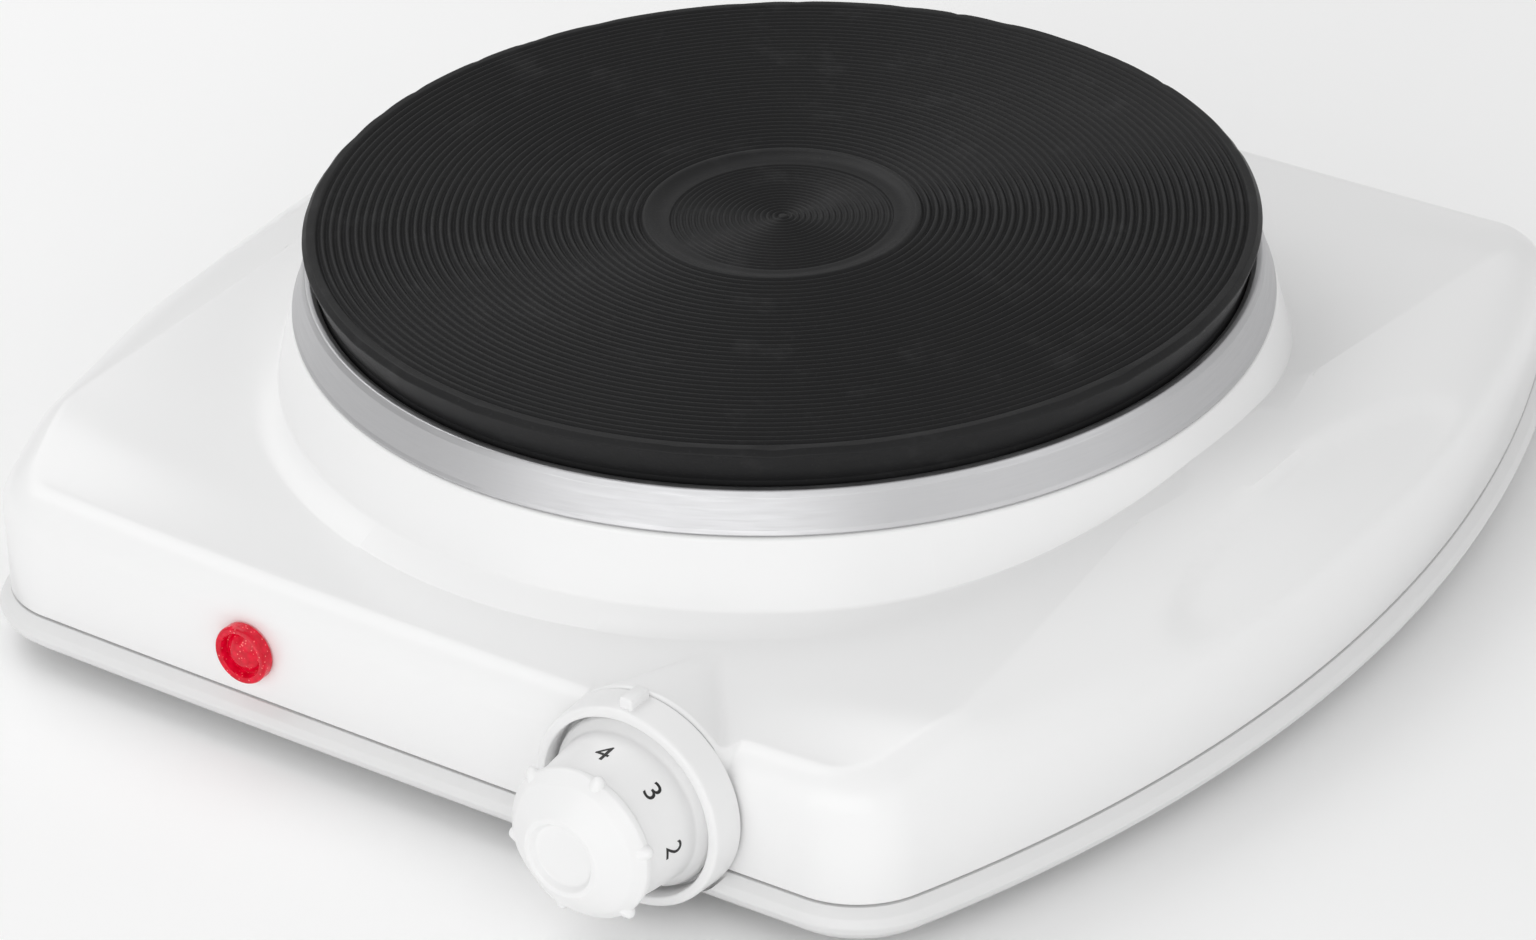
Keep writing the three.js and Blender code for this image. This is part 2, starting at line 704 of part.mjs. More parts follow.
function bezel() {
  const dish = turnedToFront([
    [SHAFT_R + 2, BEZEL_FLOOR_Y],
    [BEZEL_BORE_R, BEZEL_FLOOR_Y],
    [BEZEL_BORE_R, BEZEL_FRONT_Y],
    [BEZEL_R - 0.8, BEZEL_FRONT_Y],
    [BEZEL_R, BEZEL_FRONT_Y + 0.8],
    [BEZEL_R, BEZEL_BACK_Y],
    [SHAFT_R + 2, BEZEL_BACK_Y],
    [SHAFT_R + 2, BEZEL_FLOOR_Y],
  ], 32);
  const pointer = box(KNOB_X - 2.2, KNOB_X + 2.2, BEZEL_FRONT_Y, BEZEL_BACK_Y,
    KNOB_Z + BEZEL_R - 1, KNOB_Z + BEZEL_R + 1.8);
  const holes = THERMOSTAT_SCREW_X.map((x) => (
    towardsBack(ring(0, SCREW_HOLE_R, BEZEL_FLOOR_Y - CUT, BEZEL_BACK_Y + CUT, 12), x, KNOB_Z)
  ));
  return cut(join(dish, pointer), ...holes);
}

add('knob_bezel', bezel(), whitePlastic());

const KNOB_BACK_Y = BEZEL_FLOOR_Y - 1.7;
const KNOB_BORE_END_Y = -136;

function knobBody() {
  const boreR = SHAFT_R + GAP;
  return turnedToFront([
    [0, KNOB_FRONT_Y + 0.5],
    [6.7, KNOB_FRONT_Y + 0.5],
    [7.2, KNOB_FRONT_Y],
    [8.2, KNOB_FRONT_Y],
    [9, KNOB_FRONT_Y + 0.7],
    [13.4, KNOB_FRONT_Y + 5],
    [KNOB_GRIP_R, KNOB_FRONT_Y + 7.2],
    [KNOB_GRIP_R, KNOB_FRONT_Y + 8.4],
    [KNOB_GRIP_R - 1, KNOB_FRONT_Y + 9.4],
    [KNOB_SKIRT_R, KNOB_BACK_Y - 2],
    [KNOB_SKIRT_R, KNOB_BACK_Y],
    [KNOB_SKIRT_R - 2, KNOB_BACK_Y],
    [11.4, KNOB_FRONT_Y + 11],
    [boreR + 2, KNOB_FRONT_Y + 9],
    [boreR + 2, KNOB_BACK_Y + 1],
    [boreR, KNOB_BACK_Y + 1],
    [boreR, KNOB_BORE_END_Y],
    [0, KNOB_BORE_END_Y],
  ], 28);
}

function nub(number) {
  const angle = ((number + 0.2) / NUB_COUNT) * 2 * Math.PI;
  const sphere = new THREE.SphereGeometry(NUB_R, 8, 6);
  return sphere.translate(
    KNOB_X + KNOB_GRIP_R * Math.cos(angle),
    KNOB_FRONT_Y + 7.8,
    KNOB_Z + KNOB_GRIP_R * Math.sin(angle),
  );
}

const FLAT = 2.2; // distance from the shaft axis to its flat
const keyFlat = () => box(
  KNOB_X - SHAFT_R - 0.6, KNOB_X + SHAFT_R + 0.6, -134, -121, KNOB_Z + FLAT + GAP, KNOB_Z + SHAFT_R + 1);

function knob() {
  const nubs = Array.from({ length: NUB_COUNT }, (_, i) => nub(i));
  return join(knobBody(), ...nubs, keyFlat());
}

add('control_knob', knob(), whitePlastic());

const SHAFT_TIP_Y = KNOB_BORE_END_Y + GAP;
const SHAFT_END_Y = -101;

function shaft() {
  const rod = towardsBack(ring(0, SHAFT_R, SHAFT_TIP_Y, SHAFT_END_Y, 20), KNOB_X, KNOB_Z);
  return cut(rod, box(KNOB_X - 5, KNOB_X + 5, SHAFT_TIP_Y - CUT, -119.5, KNOB_Z + FLAT, KNOB_Z + 5));
}

add('thermostat_shaft', shaft(), zincSteel());

const PANEL_BACK_Y = WALL_FRONT_Y + SHEET;
const BRACKET_FRONT_Y = PANEL_BACK_Y + 0.8;
const BRACKET_BACK_Y = BRACKET_FRONT_Y + 1.4;
const BODY_FRONT_Y = BRACKET_BACK_Y + GAP;
const BODY_BACK_Y = -84;
const BODY_FACE_THICKNESS = 4;
const SCREW_END_Y = BODY_FRONT_Y + 3.4;

function drilledForShaft(geometry, fromY, toY) {
  return cut(
    geometry,
    towardsBack(ring(0, SHAFT_R + GAP, fromY - CUT, toY + CUT, 20), KNOB_X, KNOB_Z),
    ...THERMOSTAT_SCREW_X.map((x) => (
      towardsBack(ring(0, SCREW_HOLE_R, fromY - CUT, SCREW_END_Y + GAP, 12), x, KNOB_Z)
    )),
  );
}

const BRACKET_HALF_WIDTH = 19;
const BRACKET_BOTTOM_Z = 13;
const BRACKET_TOP_Z = 28;
add('thermostat_bracket', drilledForShaft(box(
  KNOB_X - BRACKET_HALF_WIDTH, KNOB_X + BRACKET_HALF_WIDTH,
  BRACKET_FRONT_Y, BRACKET_BACK_Y,
  BRACKET_BOTTOM_Z, BRACKET_TOP_Z,
), BRACKET_FRONT_Y, BRACKET_BACK_Y), zincSteel());

const BODY_HALF_WIDTH = 17;
const BODY_WALL = 3;
const BODY_BOTTOM_Z = 12;
const BODY_TOP_Z = 31.9;

function thermostatBody() {
  const shell = box(
    KNOB_X - BODY_HALF_WIDTH, KNOB_X + BODY_HALF_WIDTH,
    BODY_FRONT_Y, BODY_BACK_Y,
    BODY_BOTTOM_Z, BODY_TOP_Z,
  );
  const chamber = box(
    KNOB_X - BODY_HALF_WIDTH + BODY_WALL, KNOB_X + BODY_HALF_WIDTH - BODY_WALL,
    BODY_FRONT_Y + BODY_FACE_THICKNESS, BODY_BACK_Y + CUT,
    BODY_BOTTOM_Z + 2, BODY_TOP_Z - 1.4,
  );
  return drilledForShaft(cut(shell, chamber), BODY_FRONT_Y, BODY_FRONT_Y + BODY_FACE_THICKNESS);
}

add('thermostat_body', thermostatBody(), ceramic());

const CAM_FRONT_Y = BODY_FRONT_Y + BODY_FACE_THICKNESS + 0.5;
const CAM_R = 4.7;
const CAM_THICKNESS = 3.6;
add('thermostat_cam', towardsBack(ring(
  SHAFT_R + GAP, CAM_R, CAM_FRONT_Y, CAM_FRONT_Y + CAM_THICKNESS, 20,
), KNOB_X, KNOB_Z), bakelite());

const LEAF_REACH = BODY_HALF_WIDTH - BODY_WALL - GAP;
const LEAF_WIDTH = 5;

function contactLeaf(minX, maxX, bottomZ, thickness) {
  return box(minX, maxX, CAM_FRONT_Y, CAM_FRONT_Y + LEAF_WIDTH, bottomZ, bottomZ + thickness);
}

add('contact_leaf_moving', contactLeaf(KNOB_X - 11, KNOB_X + LEAF_REACH, 28.8, 0.3), brass());
add('contact_leaf_fixed', contactLeaf(KNOB_X - LEAF_REACH, KNOB_X + 9, 29.8, 0.4), brass());

const THERMOSTAT_SCREW_HEAD_R = 2.8;
const THERMOSTAT_SCREW_HEAD = 1.2;

function thermostatScrew() {
  const headBackY = BEZEL_FLOOR_Y - GAP;
  return turned([
    [0, headBackY - THERMOSTAT_SCREW_HEAD],
    [THERMOSTAT_SCREW_HEAD_R, headBackY - THERMOSTAT_SCREW_HEAD],
    [THERMOSTAT_SCREW_HEAD_R, headBackY],
    [SCREW_R, headBackY],
    [SCREW_R, SCREW_END_Y],
    [0, SCREW_END_Y],
  ], 12);
}

add('thermostat_screw_left', towardsBack(thermostatScrew(), THERMOSTAT_SCREW_X[0], KNOB_Z), zincSteel());
add('thermostat_screw_right', towardsBack(thermostatScrew(), THERMOSTAT_SCREW_X[1], KNOB_Z), zincSteel());

// ---------- Pilot lamp ----------

const LAMP_SEAT_Y = WALL_FRONT_Y - GAP;
const LENS_BACK_Y = -106;
const LAMP_BORE_R = 3.9;

function atLamp(points, segments = 20) {
  return towardsBack(turned(points, segments), LAMP_X, LAMP_Z);
}

add('lamp_lens', atLamp([
  [0, LAMP_SEAT_Y - 2.6],
  [3.2, LAMP_SEAT_Y - 2.3],
  [5, LAMP_SEAT_Y - 1.5],
  [5.4, LAMP_SEAT_Y - 1.9],
  [LAMP_RIM_R, LAMP_SEAT_Y - 1.4],
  [LAMP_RIM_R, LAMP_SEAT_Y],
  [LAMP_BARREL_R, LAMP_SEAT_Y],
  [LAMP_BARREL_R, LENS_BACK_Y],
  [LAMP_BORE_R, LENS_BACK_Y],
  [LAMP_BORE_R, LAMP_SEAT_Y - 0.2],
  [0, LAMP_SEAT_Y - 0.9],
]), redLens());

const BULB_R = 2.8;
const BULB_FRONT_Y = -113.8;
const BULB_BACK_Y = -100;
const LAMP_BODY_BACK_Y = -92;

add('lamp_bulb', atLamp([
  [0, BULB_FRONT_Y],
  [BULB_R - 0.8, BULB_FRONT_Y + 0.6],
  [BULB_R, BULB_FRONT_Y + 2.8],
  [BULB_R, BULB_BACK_Y],
  [0, BULB_BACK_Y],
]), glass());

add('lamp_body', atLamp([
  [0, BULB_BACK_Y + GAP],
  [BULB_R + GAP, BULB_BACK_Y + GAP],
  [BULB_R + GAP, LENS_BACK_Y + GAP],
  [LAMP_BARREL_R, LENS_BACK_Y + GAP],
  [LAMP_BARREL_R, LAMP_BODY_BACK_Y],
  [0, LAMP_BODY_BACK_Y],
]), whitePlastic());

const LAMP_CLIP_R = 6.6;
add('lamp_clip', towardsBack(
  ring(LAMP_BARREL_R + GAP, LAMP_CLIP_R, PANEL_BACK_Y + 0.6, PANEL_BACK_Y + 1.6, 20),
  LAMP_X, LAMP_Z), zincSteel());

// ---------- Cable outlet and wiring ----------

const GLAND_NECK_R = OUTLET_HOLE_R - GAP;
const GLAND_INNER_Y = WALL_BACK_Y - SHEET - 2 * GAP;
const GLAND_OUTER_Y = WALL_BACK_Y + GAP;

add('cable_gland', towardsBack(turned([
  [OUTLET_BORE_R, GLAND_INNER_Y - 3],
  [OUTLET_HOLE_R + 1.2, GLAND_INNER_Y - 3],
  [OUTLET_HOLE_R + 1.2, GLAND_INNER_Y],
  [GLAND_NECK_R, GLAND_INNER_Y],
  [GLAND_NECK_R, GLAND_OUTER_Y],
  [OUTLET_HOLE_R + 1.2, GLAND_OUTER_Y],
  [OUTLET_HOLE_R + 1, WALL_BACK_Y + 2.2],
  [OUTLET_BORE_R, WALL_BACK_Y + 2.2],
  [OUTLET_BORE_R, GLAND_INNER_Y - 3],
], 18), OUTLET_X, OUTLET_Z), rubber());

const BLOCK_X = OUTLET_X;
const BLOCK_Y = 100;
const BLOCK_HALF_WIDTH = 17;
const BLOCK_HALF_DEPTH = 9;
const BLOCK_BOTTOM_Z = TRAY_BOTTOM_Z + TRAY_FLOOR + GAP;
const BLOCK_TOP_Z = 16; // lower than the way in for the cable
const POLE_PITCH = 11;
const WELL_R = 2.8;
const WELL_DEPTH = 6;
const POLES = ['live', 'neutral', 'earth'];

function terminalBlock() {
  const block = box(
    BLOCK_X - BLOCK_HALF_WIDTH, BLOCK_X + BLOCK_HALF_WIDTH,
    BLOCK_Y - BLOCK_HALF_DEPTH, BLOCK_Y + BLOCK_HALF_DEPTH,
    BLOCK_BOTTOM_Z, BLOCK_TOP_Z,
  );
  const well = ring(0, WELL_R, BLOCK_TOP_Z - WELL_DEPTH, BLOCK_TOP_Z + CUT, 12);
  const wells = POLES.map((_, i) => well.clone().translate(BLOCK_X + (i - 1) * POLE_PITCH, BLOCK_Y, 0));
  return cut(block, ...wells);
}

add('terminal_block', terminalBlock(), ceramic());
POLES.forEach((pole, i) => {
  const screw = ring(0, WELL_R - 0.4, BLOCK_TOP_Z - WELL_DEPTH + 0.4, BLOCK_TOP_Z - 1, 12);
  add(`terminal_screw_${pole}`, screw.translate(BLOCK_X + (i - 1) * POLE_PITCH, BLOCK_Y, 0), brass());
});

const LEAD_R = 1.2;
const LEAD_SIDES = 8;

function lead(points, steps) {
  const stops = points.map(([x, y, z]) => new THREE.Vector3(x, y, z));
  const route = new THREE.CatmullRomCurve3(stops, false, 'centripetal');
  const section = new THREE.Shape(Array.from({ length: LEAD_SIDES }, (_, i) => {
    const angle = (i / LEAD_SIDES) * 2 * Math.PI;
    return new THREE.Vector2(LEAD_R * Math.cos(angle), LEAD_R * Math.sin(angle));
  }));
  return new THREE.ExtrudeGeometry(section, { steps, extrudePath: route, bevelEnabled: false });
}

const LEAD_START_Y = BLOCK_Y - BLOCK_HALF_DEPTH - GAP - 0.4;
const LEAD_BEND_Y = LEAD_START_Y - 6;
const LEAD_START_Z = 11;
const LAMP_LEAD_START_Z = 8.2;
const HEATER_LEAD_TOP_Z = PIN_TIP_Z - 0.4;
const HEATER_LEAD_BEND_Z = 22;
const HEATER_Y = PLATE_Y + TERMINAL_Y;
const THERMOSTAT_LEAD_Y = BODY_BACK_Y + 0.6;
const LAMP_LEAD_Y = LAMP_BODY_BACK_Y + 0.6;
const LAMP_LEAD_BEND_Y = -86;
const LAMP_LEAD_SPREAD = 2.4;
const brown = () => silicone(0x7a4a2a);
const blue = () => silicone(0x2f5fb0);
const green = () => silicone(0x8fa52c);

// Each route is a list of [x, y, z] points from the terminal block, or from the lamp or thermostat.
add('lead_live', lead([
  [BLOCK_X - POLE_PITCH, LEAD_START_Y, LEAD_START_Z],
  [BLOCK_X - POLE_PITCH, LEAD_BEND_Y, LEAD_START_Z],
  [BLOCK_X - POLE_PITCH, 74, 15],
  [-22, 40, 12],
  [34, -6, 10],
  [KNOB_X + 10, -50, 12],
  [KNOB_X + 10, THERMOSTAT_LEAD_Y, 20],
], 18), brown());

add('lead_neutral', lead([
  [BLOCK_X, LEAD_START_Y, LEAD_START_Z],
  [BLOCK_X, LEAD_BEND_Y, LEAD_START_Z],
  [BLOCK_X, 74, 16],
  [-32, 30, 18],
  [-TERMINAL_X, -8, 20],
  [-TERMINAL_X, HEATER_Y, HEATER_LEAD_BEND_Z],
  [-TERMINAL_X, HEATER_Y, HEATER_LEAD_TOP_Z],
], 16), blue());

add('lead_earth', lead([
  [BLOCK_X + POLE_PITCH, LEAD_START_Y, LEAD_START_Z],
  [BLOCK_X + POLE_PITCH, LEAD_BEND_Y, LEAD_START_Z],
  [-20, 80, 16],
  [-8, 78, 24],
  [0, PLATE_Y + EARTH_Y + 12.8, 29.2],
], 10), green());

add('lead_switched', lead([
  [KNOB_X - 8, THERMOSTAT_LEAD_Y, 20],
  [KNOB_X - 8, -66, 18],
  [30, -44, 18],
  [TERMINAL_X, HEATER_Y, HEATER_LEAD_BEND_Z],
  [TERMINAL_X, HEATER_Y, HEATER_LEAD_TOP_Z],
], 14), brown());

add('lead_lamp_neutral', lead([
  [LAMP_X - LAMP_LEAD_SPREAD, LAMP_LEAD_Y, LAMP_Z],
  [LAMP_X - LAMP_LEAD_SPREAD, LAMP_LEAD_BEND_Y, LAMP_Z],
  [LAMP_X - 3, -70, 16],
  [-60, -20, 9],
  [-62, 50, 8],
  [BLOCK_X - 6, 70, LAMP_LEAD_START_Z],
  [BLOCK_X - 5, LEAD_BEND_Y, LAMP_LEAD_START_Z],
  [BLOCK_X - 5, LEAD_START_Y, LAMP_LEAD_START_Z],
], 16), blue());

add('lead_lamp_switched', lead([
  [LAMP_X + LAMP_LEAD_SPREAD, LAMP_LEAD_Y, LAMP_Z],
  [LAMP_X + LAMP_LEAD_SPREAD, LAMP_LEAD_BEND_Y, LAMP_Z],
  [LAMP_X + 8, -76, 14],
  [10, -66, 10],
  [KNOB_X - 14, -70, 12],
  [KNOB_X - 15.5, -78, 13.4],
  [KNOB_X - 15.5, THERMOSTAT_LEAD_Y, 13.4],
], 16), brown());

export default assembly;
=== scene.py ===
import math

import bmesh
import bpy
import numpy as np
from mathutils import Matrix, Vector


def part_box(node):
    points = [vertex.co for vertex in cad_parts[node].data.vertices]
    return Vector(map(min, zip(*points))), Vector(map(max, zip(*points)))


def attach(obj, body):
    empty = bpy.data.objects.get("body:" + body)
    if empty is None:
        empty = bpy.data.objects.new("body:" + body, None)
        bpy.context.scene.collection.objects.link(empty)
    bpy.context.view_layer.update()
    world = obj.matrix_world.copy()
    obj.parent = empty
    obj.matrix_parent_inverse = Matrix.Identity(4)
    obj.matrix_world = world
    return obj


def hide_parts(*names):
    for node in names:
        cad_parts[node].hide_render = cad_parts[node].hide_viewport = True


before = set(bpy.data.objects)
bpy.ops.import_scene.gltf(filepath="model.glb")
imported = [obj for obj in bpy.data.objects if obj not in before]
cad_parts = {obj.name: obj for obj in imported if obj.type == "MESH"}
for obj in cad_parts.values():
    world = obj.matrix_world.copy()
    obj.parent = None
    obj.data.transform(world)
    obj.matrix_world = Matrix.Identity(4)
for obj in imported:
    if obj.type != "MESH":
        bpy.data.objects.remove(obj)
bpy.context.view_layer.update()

# Single hot plate: a ribbed cast-iron plate on a white housing with a base tray.
# Lengths below are millimetres in the CAD frame; mesh code turns them into metres.

MM = 0.001
TAU = 2 * math.pi


def node_box(name):
    """The two corners of a CAD node's box."""
    low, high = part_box(name)
    return np.array(low) / MM, np.array(high) / MM


# ---------- Sizes taken from the frame ----------

plate_low, plate_high = node_box("hot_plate_casting")
PLATE_Y = (plate_low[1] + plate_high[1]) / 2
PLATE_TOP = plate_high[2]
PLATE_BOTTOM = plate_low[2]
PLATE_R = (plate_high[0] - plate_low[0]) / 2
ring_low, ring_high = node_box("overflow_ring")
RING_R = (ring_high[0] - ring_low[0]) / 2
RING_TOP = ring_high[2]
RING_FOOT = ring_low[2]
housing_low, housing_high = node_box("top_housing")
WALL_SIDE = housing_high[0]
WALL_FRONT = housing_low[1]
WALL_BACK = housing_high[1]
tray_low, tray_high = node_box("base_tray")
TRAY_BOTTOM = tray_low[2]
TRAY_TOP = tray_high[2]
SKIRT = TRAY_TOP + 0.5  # lower rim of the housing wall
FLANGE_OUT = tray_high[0] - WALL_SIDE
knob_low, knob_high = node_box("control_knob")
shaft_low, shaft_high = node_box("thermostat_shaft")
KNOB_X = (shaft_low[0] + shaft_high[0]) / 2
KNOB_Z = (shaft_low[2] + shaft_high[2]) / 2
KNOB_FRONT = knob_low[1]
KNOB_BACK = knob_high[1]
bezel_low, bezel_high = node_box("knob_bezel")
BEZEL_FRONT = bezel_low[1]
BEZEL_BACK = bezel_high[1]
BEZEL_R = (bezel_high[0] - bezel_low[0]) / 2
lamp_low, lamp_high = node_box("lamp_lens")
LAMP_FRONT = lamp_low[1]
LAMP_BACK = lamp_high[1]
LAMP_X = (lamp_low[0] + lamp_high[0]) / 2
LAMP_Z = (lamp_low[2] + lamp_high[2]) / 2
LAMP_R = (lamp_high[0] - lamp_low[0]) / 2
gland_low, gland_high = node_box("cable_gland")
GLAND_IN = gland_low[1]
GLAND_OUT = gland_high[1]
OUTLET_X = (gland_low[0] + gland_high[0]) / 2
OUTLET_Z = (gland_low[2] + gland_high[2]) / 2
GLAND_R = (gland_high[0] - gland_low[0]) / 2

# ---------- Camera, solved from the circles and the outline in the photo ----------

CAMERA_AT = (677.25, -928.88, 683.45)
CAMERA_AZIMUTH = 36.05
CAMERA_ELEVATION = 30.12
CAMERA_ROLL = -1.80
CAMERA_LENS = 157.88


def to_scene(thing):
    bpy.context.scene.collection.objects.link(thing)
    return thing


def make_camera():
    azimuth = math.radians(CAMERA_AZIMUTH)
    elevation = math.radians(CAMERA_ELEVATION)
    roll = math.radians(CAMERA_ROLL)
    ca, sa = math.cos(azimuth), math.sin(azimuth)
    ce, se = math.cos(elevation), math.sin(elevation)
    level_right = Vector((ca, sa, 0))
    level_up = Vector((-sa * se, ca * se, ce))
    forward = Vector((-sa * ce, ca * ce, -se))
    right = math.cos(roll) * level_right + math.sin(roll) * level_up
    up = -math.sin(roll) * level_right + math.cos(roll) * level_up
    data = bpy.data.cameras.new("camera")
    data.lens = CAMERA_LENS
    data.clip_start = 0.05
    data.clip_end = 20
    camera = to_scene(bpy.data.objects.new("camera", data))
    turn = Matrix((right, up, -forward)).transposed().to_4x4()
    camera.matrix_world = Matrix.Translation(Vector(CAMERA_AT) * MM) @ turn
    bpy.context.scene.camera = camera


make_camera()

# ---------- Material building ----------


def set_range(node, low, high, to_low, to_high):
    sockets = ("From Min", "From Max", "To Min", "To Max")
    for name, number in zip(sockets, (low, high, to_low, to_high)):
        node.inputs[name].default_value = number


class Nodes:
    """A node material under construction, with the shader and object coordinates ready."""

    def __init__(self, name):
        self.material = bpy.data.materials.new(name)
        self.material.use_nodes = True
        self.tree = self.material.node_tree
        self.shader = self.tree.nodes["Principled BSDF"]
        self.place = self.tree.nodes.new("ShaderNodeTexCoord").outputs["Object"]

    def node(self, kind, **inputs):
        made = self.tree.nodes.new(kind)
        for name, value in inputs.items():
            self.feed(made.inputs[name], value)
        return made

    def feed(self, socket, value):
        if isinstance(value, bpy.types.NodeSocket):
            self.tree.links.new(value, socket)
        elif socket.type == "RGBA":
            socket.default_value = (*value, 1)
        else:
            socket.default_value = value

    def noise(self, scale, detail=3.0, roughness=0.55, stretch=None):
        source = self.place
        if stretch:
            mapping = self.node("ShaderNodeMapping", Vector=self.place, Scale=stretch)
            source = mapping.outputs["Vector"]
        return self.node(
            "ShaderNodeTexNoise", Vector=source, Scale=scale, Detail=detail, Roughness=roughness
        ).outputs["Fac"]

    def spots(self, scale):
        """The distance to the nearest of many scattered points."""
        return self.node(
            "ShaderNodeTexVoronoi", Vector=self.place, Scale=scale
        ).outputs["Distance"]

    def remap(self, value, low, high, to_low, to_high):
        made = self.node("ShaderNodeMapRange", Value=value)
        set_range(made, low, high, to_low, to_high)
        return made.outputs["Result"]

    def math(self, operation, a, b=0.0):
        made = self.tree.nodes.new("ShaderNodeMath")
        made.operation = operation
        for socket, value in zip(made.inputs, (a, b)):
            self.feed(socket, value)
        return made.outputs[0]

    def mix(self, factor, a, b):
        """A blend of two colours. The colour sockets of a mix node are 6, 7 and output 2."""
        made = self.tree.nodes.new("ShaderNodeMix")
        made.data_type = "RGBA"
        for socket, value in zip((made.inputs[0], made.inputs[6], made.inputs[7]), (factor, a, b)):
            self.feed(socket, value)
        return made.outputs[2]

    def bump(self, height, depth):
        made = self.node("ShaderNodeBump", Height=height, Distance=depth * MM, Strength=1.0)
        self.feed(self.shader.inputs["Normal"], made.outputs["Normal"])

    def finish(self, **inputs):
        for name, value in inputs.items():
            self.feed(self.shader.inputs[name.replace("_", " ")], value)
        return self.material


DUST_GREY = (0.42, 0.41, 0.4)


def shade_of(color, factor):
    return tuple(min(1.0, c * factor) for c in color)


def moulded(name, color, roughness, grain_scale, grain_depth, mottle):
    """Moulded plastic, rubber or ceramic: cloudy colour, uneven gloss and a fine grain."""
    nodes = Nodes(name)
    cloud = nodes.noise(14, 4)
    fine = nodes.noise(grain_scale, 5, 0.6)
    specks = nodes.remap(nodes.spots(260), 0.0, 0.09, 1.0, 0.0)
    tone = nodes.mix(cloud, shade_of(color, 1 - mottle), shade_of(color, 1 + mottle))
    grain = nodes.remap(fine, 0.35, 0.65, 0, 0.35)
    tone = nodes.mix(grain, tone, shade_of(color, 1 - 1.6 * mottle))
    tone = nodes.mix(nodes.math("MULTIPLY", specks, 0.1), tone, shade_of(color, 0.55))
    gloss = nodes.math("ADD", nodes.remap(nodes.noise(34, 3), 0.3, 0.7, -0.04, 0.05), roughness)
    waves = nodes.math("MULTIPLY", nodes.noise(60, 2), 1.5)
    nodes.bump(nodes.math("ADD", fine, waves), grain_depth)
    return nodes.finish(Base_Color=tone, Roughness=gloss, IOR=1.5)


def metal(name, color, roughness, stretch, scale, depth, stain):
    """Sheet or turned metal: drawn streaks in the gloss, light staining and fine scratches."""
    nodes = Nodes(name)
    streaks = nodes.noise(scale, 6, 0.65, stretch)
    stains = nodes.noise(26, 4)
    tone = nodes.mix(nodes.remap(stains, 0.35, 0.7, 0, 1), color, shade_of(color, 1 - stain))
    tone = nodes.mix(nodes.remap(streaks, 0.3, 0.7, 0, 0.5), tone, shade_of(color, 1 - stain / 2))
    gloss = nodes.math("ADD", nodes.remap(streaks, 0.3, 0.7, -0.07, 0.1), roughness)
    nodes.bump(streaks, depth)
    return nodes.finish(Base_Color=tone, Roughness=gloss, Metallic=1.0)


def cast_iron():
    """Black seasoned iron: cloudy tone and gloss, a coarse grain and paler worn patches."""
    nodes = Nodes("cast_iron")
    grain = nodes.noise(1500, 6, 0.7)
    cloud = nodes.noise(22, 5, 0.6)
    wear = nodes.remap(nodes.noise(70, 4, 0.7), 0.56, 0.74, 0, 1)
    dark = nodes.mix(cloud, (0.0085, 0.0085, 0.009), (0.016, 0.016, 0.0165))
    tone = nodes.mix(nodes.math("MULTIPLY", wear, 0.35), dark, (0.045, 0.045, 0.046))
    tone = nodes.mix(nodes.remap(grain, 0.6, 0.85, 0, 0.5), tone, (0.07, 0.07, 0.072))
    gloss = nodes.remap(cloud, 0.3, 0.7, 0.38, 0.52)
    nodes.bump(grain, 0.05)
    return nodes.finish(Base_Color=tone, Roughness=gloss, IOR=1.5, Specular_IOR_Level=0.18)


def white_body(name, color, roughness):
    """Glossy white finish with soft waves, a barely uneven tone and a few dust specks.

    The gloss varies upwards only, since patches showed where roughness crossed about 0.27.
    """
    nodes = Nodes(name)
    waves = nodes.noise(160, 1, 0.3)
    cloud = nodes.noise(60, 2, 0.4)
    tone = nodes.mix(cloud, shade_of(color, 0.997), shade_of(color, 1.003))
    dust = nodes.remap(nodes.spots(150), 0.0, 0.03, 1.0, 0.0)
    tone = nodes.mix(nodes.math("MULTIPLY", dust, 0.1), tone, DUST_GREY)
    gloss = nodes.math("ADD", nodes.remap(cloud, 0.1, 0.9, 0.0, 0.02), roughness)
    nodes.bump(waves, 0.003)
    return nodes.finish(Base_Color=tone, Roughness=gloss, IOR=1.5)


def red_lens():
    """Clear red plastic with a dim glow, dark moulded facets and a few bright inner specks."""
    nodes = Nodes("red_lens")
    facets = nodes.spots(700)
    specks = nodes.remap(nodes.spots(1100), 0.12, 0.2, 1.0, 0.0)
    cloud = nodes.noise(300, 3)
    tone = nodes.mix(cloud, (0.4, 0.0, 0.012), (0.66, 0.001, 0.03))
    tone = nodes.mix(nodes.math("MULTIPLY", specks, 0.7), tone, (1.0, 0.45, 0.4))
    glow = nodes.mix(nodes.remap(facets, 0.1, 0.7, 0, 1), (1.0, 0.01, 0.06), (0.45, 0.0, 0.015))
    gloss = nodes.remap(cloud, 0.3, 0.7, 0.03, 0.07)
    return nodes.finish(
        Base_Color=tone, Roughness=gloss, IOR=1.49, Specular_IOR_Level=0.25,
        Transmission_Weight=0.35, Emission_Color=glow, Emission_Strength=0.3,
    )


def printed_ink():
    """Matt black print with a fine uneven surface."""
    nodes = Nodes("printed_ink")
    grain = nodes.noise(2400, 4)
    tone = nodes.mix(grain, (0.004, 0.004, 0.004), (0.016, 0.016, 0.016))
    nodes.bump(grain, 0.01)
    return nodes.finish(Base_Color=tone, Roughness=nodes.remap(grain, 0.3, 0.7, 0.45, 0.6))


def silicone_lead(name, color):
    return moulded(name, color, 0.5, 900, 0.01, 0.08)


